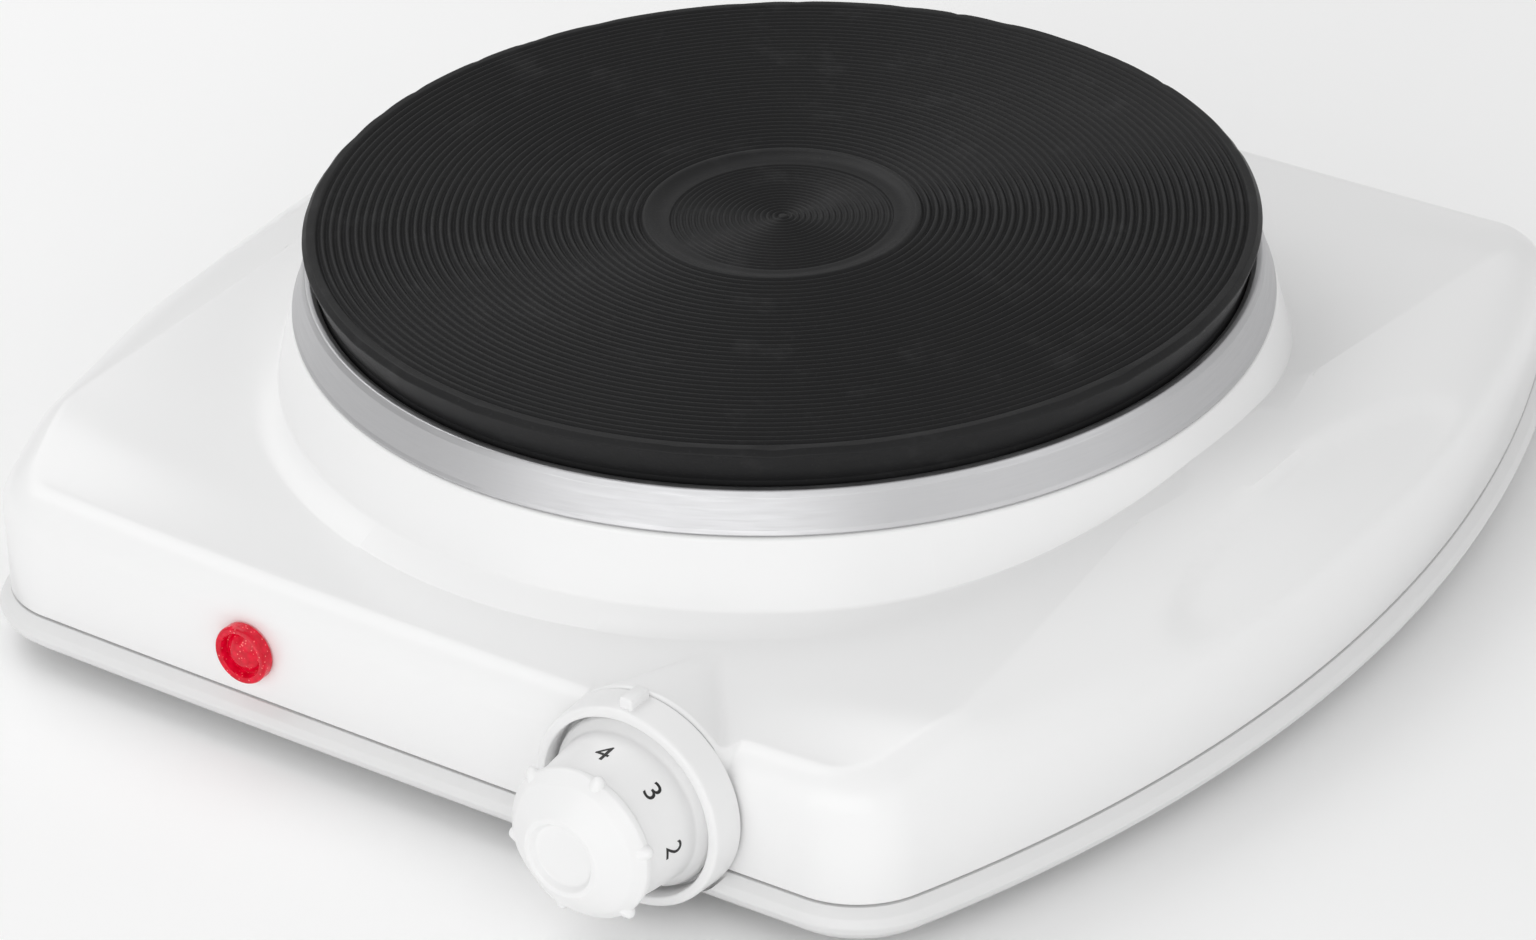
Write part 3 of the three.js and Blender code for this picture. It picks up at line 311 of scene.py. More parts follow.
# moulded: colour, roughness, grain scale, grain depth (mm), mottle
# metal: colour, roughness, streak stretch, streak scale, streak depth (mm), stain
FINISHES = {
    "white_enamel": white_body("white_enamel", (0.86, 0.86, 0.86), 0.28),
    "white_plastic": white_body("white_plastic", (0.84, 0.84, 0.84), 0.36),
    "cast_iron": cast_iron(),
    "satin_steel": metal("satin_steel", (0.57, 0.57, 0.58), 0.42, (1, 1, 30), 90, 0.002, 0.03),
    "zinc_steel": metal("zinc_steel", (0.52, 0.53, 0.54), 0.42, (1, 1, 8), 160, 0.012, 0.22),
    "brass": metal("brass", (0.62, 0.44, 0.17), 0.34, (6, 1, 1), 200, 0.01, 0.25),
    "ceramic": moulded("ceramic", (0.72, 0.68, 0.58), 0.55, 700, 0.03, 0.08),
    "mica": moulded("mica", (0.42, 0.33, 0.19), 0.6, 260, 0.05, 0.25),
    "bakelite": moulded("bakelite", (0.045, 0.024, 0.016), 0.42, 500, 0.02, 0.2),
    "black_rubber": moulded("black_rubber", (0.022, 0.022, 0.022), 0.72, 1300, 0.05, 0.2),
    "red_lens": red_lens(),
    "clear_glass": moulded("clear_glass", (0.8, 0.8, 0.8), 0.08, 500, 0.01, 0.02),
    "brown_silicone": silicone_lead("brown_silicone", (0.17, 0.07, 0.025)),
    "blue_silicone": silicone_lead("blue_silicone", (0.03, 0.11, 0.42)),
    "green_silicone": silicone_lead("green_silicone", (0.22, 0.34, 0.03)),
}
TRAY_WHITE = white_body("tray_white", (0.74, 0.74, 0.74), 0.38)
INK = printed_ink()

# ---------- Mesh building ----------


def make_object(name, vertices, faces, smooth_angle=None):
    """An object from points in millimetres, with its faces turned outwards.

    Edges that bend less than smooth_angle degrees are shaded smooth; without it, none is.
    """
    mesh = bpy.data.meshes.new(name)
    mesh.from_pydata((np.asarray(vertices, float) * MM).tolist(), [], faces)
    mesh.validate()
    work = bmesh.new()
    work.from_mesh(mesh)
    bmesh.ops.recalc_face_normals(work, faces=work.faces)
    if smooth_angle is not None:
        limit = math.radians(smooth_angle)
        for face in work.faces:
            face.smooth = True
        for edge in work.edges:
            edge.smooth = len(edge.link_faces) == 2 and edge.calc_face_angle(0) < limit
    work.to_mesh(mesh)
    work.free()
    return to_scene(bpy.data.objects.new(name, mesh))


def add_piece(name, vertices, faces, finish, body="root", smooth_angle=35.0, material=None):
    """A visible piece that rides a body. A piece without a finish needs its own material."""
    piece = make_object(name, vertices, faces, smooth_angle)
    piece.data.materials.append(material or FINISHES[finish])
    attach(piece, body)
    return piece


def loft(rings, closed=False, capped=False):
    """Quads over equal rings of points. A closed loft joins its last ring to its first."""
    rings = np.asarray(rings, float)
    count, around = rings.shape[:2]
    vertices = rings.reshape(-1, 3).tolist()
    faces = []
    for i in range(count if closed else count - 1):
        a, b = i * around, ((i + 1) % count) * around
        for j in range(around):
            k = (j + 1) % around
            faces.append((a + j, b + j, b + k, a + k))
    if capped:
        faces.append(tuple(range(around)))
        faces.append(tuple((count - 1) * around + j for j in reversed(range(around))))
    return vertices, faces


def rounded(points, steps=5):
    """A profile whose corners are arcs. Each point is (a, b) or (a, b, corner radius)."""
    out = []
    for i, point in enumerate(points):
        here = np.array(point[:2], float)
        radius = point[2] if len(point) > 2 else 0
        if radius <= 0 or i in (0, len(points) - 1):
            out.append(here)
            continue
        before = np.array(points[i - 1][:2], float) - here
        after = np.array(points[i + 1][:2], float) - here
        to_before, to_after = before / np.linalg.norm(before), after / np.linalg.norm(after)
        half = math.acos(max(-1, min(1, float(to_before @ to_after)))) / 2
        shorter = min(np.linalg.norm(before), np.linalg.norm(after))
        reach = min(radius / math.tan(half), 0.48 * shorter)
        start, end = here + to_before * reach, here + to_after * reach
        for step in range(steps + 1):
            t = step / steps
            out.append((1 - t) ** 2 * start + 2 * t * (1 - t) * here + t ** 2 * end)
    return np.array(out)


def turned_rings(profile, around, x=0.0, y=PLATE_Y):
    """Rings round a vertical axis from (radius, height) points."""
    angles = np.arange(around) * TAU / around
    return [
        np.c_[x + r * np.cos(angles), y + r * np.sin(angles), np.full(around, z)]
        for r, z in profile
    ]


def front_rings(profile, around, x, z):
    """Rings round an axis that runs front to back, from (radius, y) points."""
    angles = np.arange(around) * TAU / around
    return [
        np.c_[x + r * np.cos(angles), np.full(around, y), z + r * np.sin(angles)]
        for r, y in profile
    ]


def merge(*parts):
    """One (vertices, faces) pair from several."""
    vertices, faces = [], []
    for part_vertices, part_faces in parts:
        base = len(vertices)
        vertices.extend(part_vertices)
        faces.extend(tuple(base + i for i in face) for face in part_faces)
    return vertices, faces


def carve(piece, *tools):
    """Cuts closed tool meshes, given as (vertices, faces), out of a piece."""
    for vertices, faces in tools:
        cutter = make_object("cutter", vertices, faces)
        modifier = piece.modifiers.new("cut", "BOOLEAN")
        modifier.object = cutter
        modifier.operation = "DIFFERENCE"
        modifier.solver = "EXACT"
        bpy.context.view_layer.update()
        evaluated = piece.evaluated_get(bpy.context.evaluated_depsgraph_get())
        piece.data = bpy.data.meshes.new_from_object(evaluated)
        piece.modifiers.clear()
        bpy.data.objects.remove(cutter)


def front_cylinder(radius, x, z, y_from, y_to, around=48):
    return loft(front_rings([(radius, y_from), (radius, y_to)], around, x, z), capped=True)


def block(low, high):
    corners = [
        (x, y, z) for z in (low[2], high[2]) for y in (low[1], high[1]) for x in (low[0], high[0])
    ]
    faces = [(0, 2, 3, 1), (4, 5, 7, 6), (0, 1, 5, 4), (2, 6, 7, 3), (0, 4, 6, 2), (1, 3, 7, 5)]
    return corners, faces


def rounded_block(low, high, radius):
    """A block with bevelled edges, as (vertices, faces)."""
    work = bmesh.new()
    corners, faces = block(low, high)
    points = [work.verts.new(c) for c in corners]
    for face in faces:
        work.faces.new([points[i] for i in face])
    bmesh.ops.recalc_face_normals(work, faces=work.faces)
    bmesh.ops.bevel(
        work, geom=work.edges[:], offset=radius, segments=3, profile=0.5, affect="EDGES")
    work.verts.index_update()
    vertices = [tuple(v.co) for v in work.verts]
    faces = [tuple(v.index for v in f.verts) for f in work.faces]
    work.free()
    return vertices, faces


def smooth_max(a, b, blend):
    """The larger of two heights, rounded where they cross within the blend's distance."""
    gap = np.maximum(blend - np.abs(a - b), 0) / blend
    return np.maximum(a, b) + gap ** 3 * blend / 6


def smooth_step(t):
    t = np.clip(t, 0, 1)
    return t * t * (3 - 2 * t)


# ---------- Outline of the housing wall ----------

END_ARC_R = 5800.0  # the front and back walls, which are nearly straight
SIDE_ARC_R = 304.0
FRONT_CORNER_R = 18.0
BACK_CORNER_R = 15.5
ARC_STEPS = (180, 30, 110, 30, 40)  # half the front, corner, side, corner, half the back


def corner_centre(side, end, corner_r, is_front):
    """The centre of a corner arc that touches a side wall's arc and an end wall's arc inside."""
    reach_side, reach_end = SIDE_ARC_R - corner_r, END_ARC_R - corner_r
    gap = end - side
    apart = np.hypot(*gap)
    along = (reach_side ** 2 - reach_end ** 2 + apart ** 2) / (2 * apart)
    across = math.sqrt(reach_side ** 2 - along ** 2)
    for sign in (1, -1):
        spot = side + (along * gap + sign * across * np.array([-gap[1], gap[0]])) / apart
        if spot[0] > 0 and (spot[1] < PLATE_Y) == is_front:
            return spot
    raise ValueError("the wall arcs don't meet")


def wall_outline():
    """Points and outward normals of the wall, all the way round from the front middle."""
    front = np.array([0, WALL_FRONT + END_ARC_R])
    back = np.array([0, WALL_BACK - END_ARC_R])
    side = np.array([WALL_SIDE - SIDE_ARC_R, PLATE_Y])
    front_corner = corner_centre(side, front, FRONT_CORNER_R, True)
    back_corner = corner_centre(side, back, BACK_CORNER_R, False)

    def heading(a, b):
        return math.atan2(b[1] - a[1], b[0] - a[0])

    turns = (-math.pi / 2, heading(front, front_corner), heading(side, front_corner),
             heading(side, back_corner), heading(back, back_corner), math.pi / 2)
    centres = (front, front_corner, side, back_corner, back)
    radii = (END_ARC_R, FRONT_CORNER_R, SIDE_ARC_R, BACK_CORNER_R, END_ARC_R)
    right = []
    for centre, radius, start, end, steps in zip(centres, radii, turns, turns[1:], ARC_STEPS):
        for i in range(steps):
            angle = start + (end - start) * i / steps
            normal = np.array([math.cos(angle), math.sin(angle)])
            right.append((*(centre + radius * normal), *normal))
    left = [(-x, y, -nx, ny) for x, y, nx, ny in reversed(right[1:])]
    middle = [(0, WALL_BACK, 0, 1)]
    table = np.array(right + middle + left)
    return table[:, :2], table[:, 2:]


WALL, NORMAL = wall_outline()
AROUND = len(WALL)
BEARING = np.arctan2(WALL[:, 1] - PLATE_Y, WALL[:, 0])  # of each wall point from the plate's axis


def outline(outwards):
    """The wall's outline moved outwards by one distance, or by one for each point."""
    return WALL + NORMAL * np.reshape(outwards, (-1, 1) if np.ndim(outwards) else ())


def level(points, z):
    return np.c_[points, np.broadcast_to(z, len(points))]


# ---------- Top surface of the housing ----------

DECK = PLATE_TOP - 35.0
EDGE_R = 7.0  # rounding of the top edge at the front and the back
SHEET = 1.6
COLLAR_TOP = RING_FOOT - 0.3
COLLAR_R = RING_R
COLLAR_HOLE_R = 87.5
COLLAR_WAIST_R = 99.2
COLLAR_WAIST_RISE = 5.2
COLLAR_FOOT_R = 104.5
COLLAR_BLEND = 4.0
FRONT_TAPER = 26.0  # over this distance from the front and back walls the deck's rise fades
END_RISE = 0.35  # share of the rise that is left at those walls

RIDGE_MIDDLE_X = 98.3  # the ridge where the deck ends and the side shoulder starts to fall
RIDGE_SPREAD = 6.2  # how much wider the ridges stand at the front than in the middle
RIDGE_REACH = 90.0
RIDGE_TOP = PLATE_TOP - 20.8
RIDGE_FALL = 9.2
RIDGE_SOFT = 12.0  # keeps the ridge's summit round
RIDGE_POWER = 0.8
PAST_RIDGE_SLOPE = 0.17

SHOULDER_FALL = 40.0  # from the plate top to the top of the side wall
SHOULDER_STRAIGHT = 0.22  # share of the shoulder's fall that is even, which makes the ridge crisp
SHOULDER_WIDEST = 27.0
CREST_GAP = 0.6  # keeps the crest of the shoulder outside the collar's foot

HOOD_TIP = (51.0, -83.0)  # where the hood over the knob runs out on the deck
HOOD_TIP_SHARE = 0.02  # the hood's cone ends this share of its length before its tip
HOOD_R = BEZEL_R + 0.4
HOOD_EDGE_R = 1.0
HOOD_BLEND = 2.0
HOOD_FADE = 3.0  # height above the deck by which the wall's top edge is all hood

SCOOP_Y = PLATE_Y + 5.0  # middle of the grip hollow in each shoulder
SCOOP_HALF = 56.0
SCOOP_X = 111.0  # its inner edge in the middle, and at the ends
SCOOP_END_X = 117.5
SCOOP_DEPTH = 1.9
SCOOP_ENTRY = 1.8  # widths over which it deepens at the inner edge and fades at the wall
SCOOP_EXIT = 4.0
SCOOP_END_SHARE = 0.25  # share of its half length over which it fades at the ends


def ridge_x(y):
    return RIDGE_MIDDLE_X + RIDGE_SPREAD * np.clip((PLATE_Y - y) / RIDGE_REACH, 0, 1)


def ridge_height(y):
    away = (y - PLATE_Y) ** 2 + RIDGE_SOFT ** 2
    rise = away ** (RIDGE_POWER / 2) - RIDGE_SOFT ** RIDGE_POWER
    return RIDGE_TOP - RIDGE_FALL * rise / RIDGE_REACH ** RIDGE_POWER


def deck_height(x, y):
    """The deck dips along the middle and rises evenly to the two side ridges."""
    rise = (ridge_height(y) - DECK) * np.clip(np.abs(x) / ridge_x(y), 0, 1) ** 2
    from_front = smooth_step((y - WALL_FRONT) / FRONT_TAPER)
    from_back = smooth_step((WALL_BACK - y) / FRONT_TAPER)
    fall = PAST_RIDGE_SLOPE * np.maximum(np.abs(x) - ridge_x(y), 0)
    return DECK + rise * (END_RISE + (1 - END_RISE) * from_front * from_back) - fall


def hood_height(x, y):
    """The hood over the knob: an arch at the front wall that tapers to a tip on the deck."""
    tip_x, tip_y = HOOD_TIP
    share = (tip_y - y) / (tip_y - WALL_FRONT)
    safe = np.maximum(share, HOOD_TIP_SHARE)
    sideways = (x - tip_x) / safe + tip_x - KNOB_X
    inside = HOOD_R ** 2 - sideways ** 2
    arc = np.sqrt(np.maximum(inside, 0)) + KNOB_Z - DECK
    return np.where((share > HOOD_TIP_SHARE) & (inside > 0), DECK + safe * arc, DECK - HOOD_R)


def top_height(x, y):
    return smooth_max(deck_height(x, y), hood_height(x, y), HOOD_BLEND)


def scoop_depth(x, y):
    """How deep the leaf-shaped hollow in each side shoulder is, fading out at the wall."""
    along = (y - SCOOP_Y) / SCOOP_HALF
    inner_edge = SCOOP_X + (SCOOP_END_X - SCOOP_X) * along ** 2
    wall = WALL_SIDE - SIDE_ARC_R + np.sqrt(SIDE_ARC_R ** 2 - (y - PLATE_Y) ** 2)
    entry = smooth_step((np.abs(x) - inner_edge) / SCOOP_ENTRY)
    exit_share = smooth_step((wall - np.abs(x)) / SCOOP_EXIT)
    ends = smooth_step((1 - np.abs(along)) / SCOOP_END_SHARE)
    return SCOOP_DEPTH * entry * exit_share * ends


def crest_distance():
    """How far inside the wall the shoulder or the edge rounding starts, at each wall point."""
    shoulder = np.maximum(np.abs(WALL[:, 0]) - ridge_x(WALL[:, 1]), EDGE_R)
    outside_collar = np.hypot(WALL[:, 0], WALL[:, 1] - PLATE_Y) - COLLAR_FOOT_R - CREST_GAP
    on_side = np.minimum(shoulder, np.minimum(outside_collar, SHOULDER_WIDEST))
    crest_in = EDGE_R + SIDE * (on_side - EDGE_R)
    return crest_in + HOOD * (HOOD_EDGE_R - crest_in)


def wall_heights():
    """The height of the wall's top, under the rounding, at each wall point."""
    plain = (DECK - EDGE_R) + SIDE * (PLATE_TOP - SHOULDER_FALL - (DECK - EDGE_R))
    return plain + HOOD * (WALL_HOOD - HOOD_EDGE_R - plain)


# SIDE is 1 on the side walls and 0 on the front and back walls. Round the corners it rises
# smoothly, from where the wall's normal points 0.15 sideways to where it points 0.9 sideways.
SIDE = smooth_step((np.abs(NORMAL[:, 0]) - 0.15) / 0.75)
WALL_HOOD = hood_height(WALL[:, 0], WALL[:, 1])
HOOD = smooth_step((WALL_HOOD - DECK) / HOOD_FADE)
CREST_IN = crest_distance()
WALL_TOP = wall_heights()
CREST = outline(-CREST_IN)

COLLAR_PROFILE = rounded([
    (COLLAR_HOLE_R, COLLAR_TOP),
    (COLLAR_R, COLLAR_TOP, 1.3),
    (COLLAR_WAIST_R, DECK + COLLAR_WAIST_RISE),
    (COLLAR_WAIST_R + 0.4, DECK + COLLAR_WAIST_RISE - 0.8, 2.0),
    (COLLAR_FOOT_R, DECK),
], 6)
DECK_RINGS = 26
EDGE_RINGS = 22
SHAFT_HOLE_R = 5.0
RIM_CHAMFER = (0.1, 0.15)  # inwards and up, at the wall's lower rim


def housing_rings(inwards):
    """Rings of a skin from the hole under the plate to the lower rim of the wall.

    The outer skin is 0 inwards, the inner skin one sheet thickness.
    """
    rings = []
    for r, z in COLLAR_PROFILE:
        r = r - inwards if r > COLLAR_HOLE_R else r
        x, y = r * np.cos(BEARING), PLATE_Y + r * np.sin(BEARING)
        rings.append([x, y, np.full(AROUND, z)])
    foot_x, foot_y, _ = rings[-1]
    for i in range(1, DECK_RINGS + 1):
        share = i / DECK_RINGS
        x = foot_x + (CREST[:, 0] - foot_x) * share
        y = foot_y + (CREST[:, 1] - foot_y) * share
        rings.append([x, y, np.full(AROUND, DECK)])
    shaped = []
    for number, (x, y, z) in enumerate(rings):
        if number > 1:  # the hole's rim and the start of the collar's rounding stay level
            z = smooth_max(z, top_height(x, y), COLLAR_BLEND)
        shaped.append(np.c_[x, y, z - inwards])
    rim_z = shaped[-1][:, 2] + inwards
    straight = SHOULDER_STRAIGHT * SIDE
    for i in range(1, EDGE_RINGS + 1):
        angle = i / EDGE_RINGS * math.pi / 2
        run = math.sin(angle)
        spot = outline(-CREST_IN * (1 - run) - inwards * run)
        left = (1 - straight) * math.cos(angle) + straight * (1 - run)
        z = WALL_TOP + (rim_z - WALL_TOP) * left - scoop_depth(spot[:, 0], spot[:, 1])
        shaped.append(np.c_[spot, z - inwards * math.cos(angle)])
    chamfer_in, chamfer_up = RIM_CHAMFER
    shaped.append(level(outline(-inwards), SKIRT + chamfer_up))
    shaped.append(level(outline(-inwards - (chamfer_in if inwards == 0 else 0)), SKIRT))
    return shaped


def build_housing():
    """The pressed housing, with holes for the knob's shaft, the lamp and the cable outlet."""
    skin = housing_rings(0) + housing_rings(SHEET)[::-1]
    vertices, faces = loft(skin, closed=True)
    piece = add_piece("housing_shell", vertices, faces, "white_enamel")
    carve(
        piece,
        front_cylinder(SHAFT_HOLE_R, KNOB_X, KNOB_Z, WALL_FRONT - 3, WALL_FRONT + 6),
        front_cylinder(LAMP_R - 1, LAMP_X, LAMP_Z, WALL_FRONT - 3, WALL_FRONT + 6),
        front_cylinder(GLAND_R - 1.2, OUTLET_X, OUTLET_Z, WALL_BACK - 6, WALL_BACK + 3),
    )
    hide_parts("top_housing")


build_housing()

# ---------- Base tray ----------

TRAY_STEP = TRAY_TOP - 2.0
TRAY_FLOOR = TRAY_BOTTOM + 1.5
TRAY_WALL_IN = 2.2  # the tray's upright wall stands this far inside the housing's
FLANGE_TIP = TRAY_STEP - 1.2
NOTCH_GAP = 0.5  # between the bezel and the notch it sits in
VENT_COUNT = 7  # slots in the tray's floor, under the plate
VENT_PITCH = 11.0
VENT_WIDTH = 4.0
VENT_LENGTH = 46.0


def outline_profile(profile):
    """Rings along the wall's outline from (distance outwards, height) points."""
    return [level(outline(out), z) for out, z in profile]


def toward_middle(share, z):
    """A level ring: the wall's outline shrunk towards the middle of the plate."""
    points = np.c_[WALL[:, 0] * share, PLATE_Y + (WALL[:, 1] - PLATE_Y) * share]
    return level(points, z)


def slot_tool(x_from, x_to, y, width, z_from, z_to):
    """A cutter for a long hole with round ends, along X."""
    radius = width / 2
    turns = np.linspace(-math.pi / 2, math.pi / 2, 9)
    right = [(x_to - radius + radius * math.cos(a), y + radius * math.sin(a)) for a in turns]
    left = [(x_from + radius - radius * math.cos(a), y - radius * math.sin(a)) for a in turns]
    points = np.array(right + left)
    return loft([level(points, z_from), level(points, z_to)], capped=True)


def build_tray():
    """The tray with its sloping flange, a notch for the bezel and vents under the plate."""
    skirt = rounded([
        (-TRAY_WALL_IN - 2, TRAY_FLOOR, 0),
        (-TRAY_WALL_IN, TRAY_FLOOR + 2, 0.8),
        (-TRAY_WALL_IN, TRAY_TOP, 0.1),
        (0.1, TRAY_TOP, 0.2),
        (FLANGE_OUT - 0.8, TRAY_STEP + 0.4, 1.2),
        (FLANGE_OUT, FLANGE_TIP, 0.8),
        (FLANGE_OUT - 0.9, FLANGE_TIP - 1.8, 0.8),
        (-1.3, TRAY_BOTTOM, 1.6),
        (-6.0, TRAY_BOTTOM, 0),
    ], 4)
    rings = [toward_middle(0.02, TRAY_FLOOR), toward_middle(0.5, TRAY_FLOOR)]
    rings += outline_profile(skirt)
    rings += [toward_middle(0.5, TRAY_BOTTOM), toward_middle(0.02, TRAY_BOTTOM)]
    vertices, faces = loft(rings, capped=True)
    piece = add_piece("base_tray_shell", vertices, faces, "white_plastic", material=TRAY_WHITE)
    notch = front_cylinder(
        BEZEL_R + NOTCH_GAP, KNOB_X, KNOB_Z, WALL_FRONT - 12, WALL_FRONT - 0.05, 96)
    half = VENT_LENGTH / 2
    vents = [
        slot_tool(-half, half, PLATE_Y + (i - (VENT_COUNT - 1) / 2) * VENT_PITCH, VENT_WIDTH,
                  TRAY_BOTTOM - 2, TRAY_FLOOR + 2)
        for i in range(VENT_COUNT)
    ]
    carve(piece, notch, *vents)
    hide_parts("base_tray")


build_tray()

# ---------- Cooking plate ----------

LIP = 2.4  # how far the plate's top stands out over its side wall
PLATE_WALL_R = PLATE_R - LIP
PLATE_HOLLOW_R = 80.0  # the hollow under the plate that holds the heating coils
PLATE_BOSS_R = 14.0
PLATE_STUD_R = 3.5
PLATE_HOLLOW_TOP = PLATE_BOTTOM + 8
RECESS_R = 26.35
RECESS_FLAT_R = 22.6
RECESS_DEPTH = 1.0
GROOVE_PITCH = 1.64
GROOVE_DEPTH = 0.8
RECESS_PITCH = 1.2
RECESS_GROOVE_DEPTH = 0.5
SWIRL = 0.5  # the innermost grooves run off centre by this much
SWIRL_FADE_R = 4.0
PLATE_AROUND = 360
CHIP_COUNT = 46


def grooves(r_from, r_to, pitch, depth, top):
    """(radius, height) points of turned grooves: narrow ridges and wider round valleys."""
    count = max(1, round((r_to - r_from) / pitch))
    step = (r_to - r_from) / count
    section = ((0.0, 0.0), (0.14, 0.12), (0.3, 0.8), (0.5, 1.0), (0.7, 0.8), (0.86, 0.12))
    return [
        (r_from + (i + share) * step, top - depth * drop)
        for i in range(count) for share, drop in section
    ]


def build_plate():
    """The grooved plate with its recess, an edge with small casting chips and a hollow under it."""
    floor = PLATE_TOP - RECESS_DEPTH
    inner = grooves(0.6, RECESS_FLAT_R - 0.6, RECESS_PITCH, RECESS_GROOVE_DEPTH, floor)
    band = [
        (RECESS_FLAT_R, floor),
        (RECESS_FLAT_R + 0.5, floor - 0.12),
        (RECESS_R - 1.5, floor + 0.15),
        (RECESS_R - 0.6, PLATE_TOP - 0.28),
        (RECESS_R - 0.15, PLATE_TOP),
    ]
    outer = grooves(RECESS_R + 0.5, PLATE_WALL_R, GROOVE_PITCH, GROOVE_DEPTH, PLATE_TOP)
    edge = rounded([
        (PLATE_R - 2.3, PLATE_TOP),
        (PLATE_R - 1.0, PLATE_TOP, 0.4),
        (PLATE_R, PLATE_TOP - 1.1, 0.5),
        (PLATE_WALL_R, PLATE_TOP - 7.5, 0.8),
        (PLATE_WALL_R, PLATE_BOTTOM + 2.5, 1.0),
        (PLATE_WALL_R - 2.5, PLATE_BOTTOM, 0.5),
        (PLATE_HOLLOW_R, PLATE_BOTTOM),
        (PLATE_HOLLOW_R, PLATE_HOLLOW_TOP),
        (PLATE_BOSS_R, PLATE_HOLLOW_TOP),
        (PLATE_BOSS_R, PLATE_BOTTOM),
        (PLATE_STUD_R, PLATE_BOTTOM),
        (PLATE_STUD_R, PLATE_HOLLOW_TOP),
    ], 5)
    profile = np.array([*inner, *band, *outer, *edge.tolist()])
    angles = np.arange(PLATE_AROUND) * TAU / PLATE_AROUND
    chips = np.random.default_rng(7)
    rings = []
    for r, z in profile:
        swirl = SWIRL * math.exp(-r / SWIRL_FADE_R) * np.sin(angles)
        radius = r + (swirl if z > PLATE_TOP - 3 else 0)
        x, y = radius * np.cos(angles), PLATE_Y + radius * np.sin(angles)
        rings.append(np.c_[x, y, np.full(PLATE_AROUND, z)])
    rings = np.array(rings)
    on_edge = (profile[:, 0] > PLATE_R - 1.2) & (profile[:, 1] > PLATE_TOP - 2.3)
    half = PLATE_AROUND / 2
    for _ in range(CHIP_COUNT):
        spot = chips.integers(PLATE_AROUND)
        spread = chips.uniform(0.6, 2.2)
        deep = chips.uniform(0.05, 0.28)
        near = (np.arange(PLATE_AROUND) - spot + half) % PLATE_AROUND - half
        rings[on_edge, :, 2] -= deep * np.exp(-(near / spread) ** 2)
    vertices, faces = loft(rings, capped=True)
    piece = add_piece("hot_plate", vertices, faces, "cast_iron", smooth_angle=50)
    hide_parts("hot_plate_casting")


build_plate()


def build_overflow_ring():
    """A thin steel band: a rolled lip on top, then a wall that slopes out to the collar."""
    inner = PLATE_R - 2.1
    profile = rounded([
        (inner, RING_TOP - 1.6),
        (inner + 0.1, RING_TOP - 0.4, 0.3),
        (inner + 1.0, RING_TOP, 0.5),
        (inner + 2.0, RING_TOP - 0.1, 0.6),
        (inner + 2.7, RING_TOP - 1.3, 0.7),
        (RING_R - 0.5, RING_FOOT + 1.0, 1.0),
        (RING_R, RING_FOOT, 0.3),
        (RING_R - 0.9, RING_FOOT, 0.2),
        (inner + 1.9, RING_TOP - 2.2, 0.6),
        (inner, RING_TOP - 1.6),
    ], 5)[:-1]
    vertices, faces = loft(turned_rings(profile, 288), closed=True)
    piece = add_piece("overflow_ring_band", vertices, faces, "satin_steel", smooth_angle=50)
    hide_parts("overflow_ring")


build_overflow_ring()

# ---------- Knob and bezel ----------

BEZEL_RIM = 2.3
BORE_R = BEZEL_R - BEZEL_RIM
BEZEL_HOLE_R = 5.0
TAB_WIDTH = 2.8  # the pointer on top of the bezel
TAB_LENGTH = 5.6
TAB_PROUD = 1.8

CAP_R = 7.6  # middle of the raised ring on the knob's end
GRIP_R = 15.1
GRIP_RIM = KNOB_FRONT + 6.3
NECK = KNOB_FRONT + 7.9
SKIRT_TOP_R = 14.2  # the numbered skirt widens from the neck to the flare
SKIRT_LOW_R = 15.4
FLARE = KNOB_BACK - 3.9
SKIRT_R = 17.3
KNOB_HOLLOW_R = 11.4
SHAFT_HUB_R = 3.4
NUB_R = 1.3
NUB_COUNT = 6
NUB_TURN = math.radians(12.0)  # of the first nub from the right
SCALLOP = 0.45  # depth of the hollows between the nubs
KNOB_AROUND = 240


def build_bezel():
    """A shallow round cup for the knob, with the pointer tab on top."""
    floor = BEZEL_BACK - 2.0
    profile = rounded([
        (BEZEL_HOLE_R, floor),
        (BORE_R, floor, 0.5),
        (BORE_R, BEZEL_FRONT, 0.5),
        (BEZEL_R - 0.3, BEZEL_FRONT, 1.0),
        (BEZEL_R, BEZEL_BACK),
        (BEZEL_HOLE_R, BEZEL_BACK),
    ], 5)
    cup = loft(front_rings(profile, 192, KNOB_X, KNOB_Z), closed=True)
    rim_top = KNOB_Z + BEZEL_R
    tab = rounded_block(
        (KNOB_X - TAB_WIDTH / 2, BEZEL_BACK - TAB_LENGTH, rim_top - 1.6),
        (KNOB_X + TAB_WIDTH / 2, BEZEL_BACK, min(rim_top + TAB_PROUD, bezel_high[2])), 0.4)
    piece = add_piece("bezel_ring", *merge(cup, tab), "white_plastic")
    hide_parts("knob_bezel")


